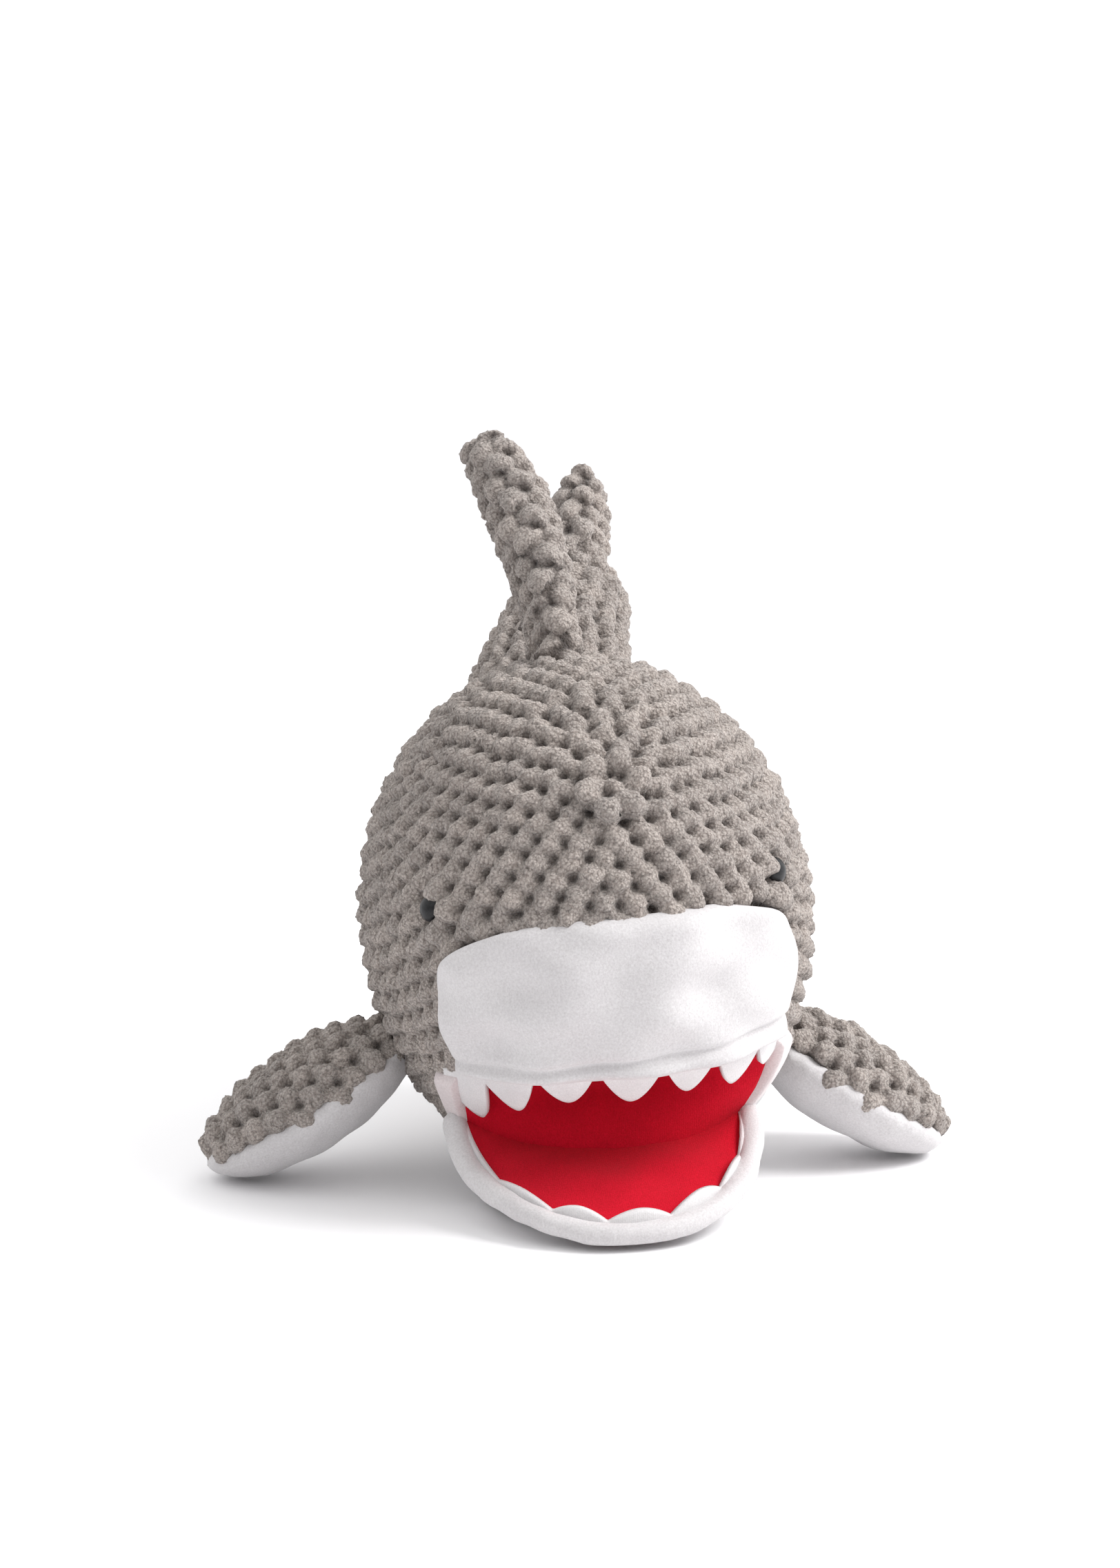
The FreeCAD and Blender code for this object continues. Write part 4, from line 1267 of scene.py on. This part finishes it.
def belly_panel():
    """The white fleece underside, flat where the shark rests."""
    columns, rows = 120, 40
    around = np.linspace(0.0, 2.0 * math.pi, columns, endpoint=False)
    top = belly_top(EGG_HALF[0] * np.cos(around), EGG_CENTRE[1] + EGG_HALF[1] * np.sin(around))
    widest = np.arccos((EGG_CENTRE[2] - top - 2.0) / EGG_HALF[2])
    forward = np.maximum(-np.sin(around), 1e-3)
    limit = np.arcsin(np.clip((-CHEEK_BACK_Y + EGG_CENTRE[1]) / (EGG_HALF[1] * forward), 0.0, 1.0))
    reach = np.where(np.sin(around) < 0.0, np.minimum(widest, limit), widest)
    layers = []
    for share in np.linspace(0.04, 1.0, rows):
        down = reach * share
        spoke = np.sin(down)
        direction = np.stack((spoke * np.cos(around), spoke * np.sin(around), -np.cos(down)), axis=-1)
        rim = 1.0 - (1.0 - np.clip((1.0 - share) * reach * 100.0 / 7.0, 0.0, 1.0)) ** 2.0
        layers.append(lean(EGG_CENTRE + direction * (EGG_HALF + (-2.4 + 3.2 * rim)[:, None])))
    outer = np.array(layers)
    outer[:, :, 2] = np.maximum(outer[:, :, 2], 0.0)
    inner = outer + np.array((0.0, 0.0, 2.0)) + 0.03 * (EGG_CENTRE - outer)
    count = rows * columns
    index = np.arange(count).reshape(rows, columns)
    after = np.roll(index, -1, axis=1)
    skin = np.stack((index[:-1], after[:-1], after[1:], index[1:]), axis=-1).reshape(-1, 4)
    rims = []
    for line, flip in ((0, False), (-1, True)):
        quad = np.stack((index[line], after[line], after[line] + count, index[line] + count), axis=-1)
        rims.append(quad if not flip else quad[:, ::-1])
    faces = np.vstack((skin[:, ::-1], skin + count, rims[0], rims[1]))
    points = np.vstack((outer.reshape(-1, 3), inner.reshape(-1, 3)))
    panel = shown("belly_fleece_panel", (points, faces), FLEECE)
    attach(panel, "torso")
    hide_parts("belly_panel")


snout_panel()
upper_teeth()
jaw_cover()
lower_lining()
lower_teeth()
upper_lining()
cheek(1.0, "left")
cheek(-1.0, "right")
belly_panel()


# Eyes and their washers keep their CAD shapes

def finish_node(node, material):
    """Give a CAD piece its finish."""
    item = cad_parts[node]
    item.data.materials.clear()
    item.data.materials.append(material)


for word in ("left", "right"):
    finish_node(f"{word}_eye", BEAD)
    finish_node(f"{word}_eye_washer", WASHER)


# Floor, light and camera

def stage_floor():
    """A plain pale floor."""
    edge = 40.0 / MM
    points = np.array([(-edge, -edge, 0.0), (edge, -edge, 0.0), (edge, edge, 0.0), (-edge, edge, 0.0)])
    faces = np.array([(0, 1, 2, 3)])
    material, tree, shader = new_material("pale_floor")
    tree.links.new(
        ramp(tree, noise(tree, 3.0, 2.0), 0.3, 0.7, (0.93, 0.925, 0.94), (0.95, 0.945, 0.955)),
        shader.inputs["Base Color"],
    )
    shader.inputs["Roughness"].default_value = 0.7
    shader.inputs["Specular IOR Level"].default_value = 0.2
    mesh = mesh_of("floor", (points, faces))
    mesh.materials.append(material)
    placed("floor", mesh)


def area_light(name, location, target, size, power):
    """A round lamp aimed at a point."""
    light = bpy.data.lights.new(name, "AREA")
    light.shape = "DISK"
    light.size = size
    light.energy = power
    item = placed(name, light)
    item.location = location
    item.rotation_euler = (Vector(target) - Vector(location)).to_track_quat("-Z", "Y").to_euler()


def lighting():
    """A large key from the right, a weak rim, and a studio brighter above and behind."""
    middle = (0.0, 0.0, 0.1)
    area_light("key", (1.1, -0.35, 1.2), middle, 0.9, 25.0)
    area_light("rim", (0.5, 1.2, 1.0), middle, 1.0, 3.0)
    world = bpy.data.worlds.new("studio")
    world.use_nodes = True
    tree = world.node_tree
    background = tree.nodes["Background"]
    background.inputs["Color"].default_value = (1.0, 1.0, 1.0, 1.0)
    coordinates = tree.nodes.new("ShaderNodeTexCoord")
    toward = tree.nodes.new("ShaderNodeVectorMath")
    toward.operation = "DOT_PRODUCT"
    toward.inputs[1].default_value = (0.15, 0.55, 0.8)
    strength = tree.nodes.new("ShaderNodeMapRange")
    for label, value in (("From Min", -0.5), ("From Max", 0.35), ("To Min", 0.25), ("To Max", 1.2)):
        strength.inputs[label].default_value = value
    tree.links.new(coordinates.outputs["Generated"], toward.inputs[0])
    tree.links.new(toward.outputs["Value"], strength.inputs["Value"])
    tree.links.new(strength.outputs["Result"], background.inputs["Strength"])
    bpy.context.scene.world = world


CAMERA_AIM = Vector((-0.009, 0.001, 0.0))
CAMERA_AZIMUTH = -7.5
CAMERA_DISTANCE = 1.2
CAMERA_HEIGHT = 0.338
CAMERA_PITCH = 8.9
CAMERA_LENS = 72.0


def camera():
    """A camera a little to one side and above, looking slightly down."""
    data = bpy.data.cameras.new("camera")
    data.lens = CAMERA_LENS
    data.sensor_width = 36.0
    data.clip_end = 100.0
    item = placed("camera", data)
    azimuth = math.radians(CAMERA_AZIMUTH)
    back = Vector((math.sin(azimuth), -math.cos(azimuth), 0.0))
    item.location = CAMERA_AIM + CAMERA_DISTANCE * back + Vector((0.0, 0.0, CAMERA_HEIGHT))
    item.rotation_euler = (math.radians(90.0 - CAMERA_PITCH), 0.0, azimuth)
    bpy.context.scene.camera = item


stage_floor()
lighting()
camera()
bpy.context.scene.view_settings.view_transform = "Standard"
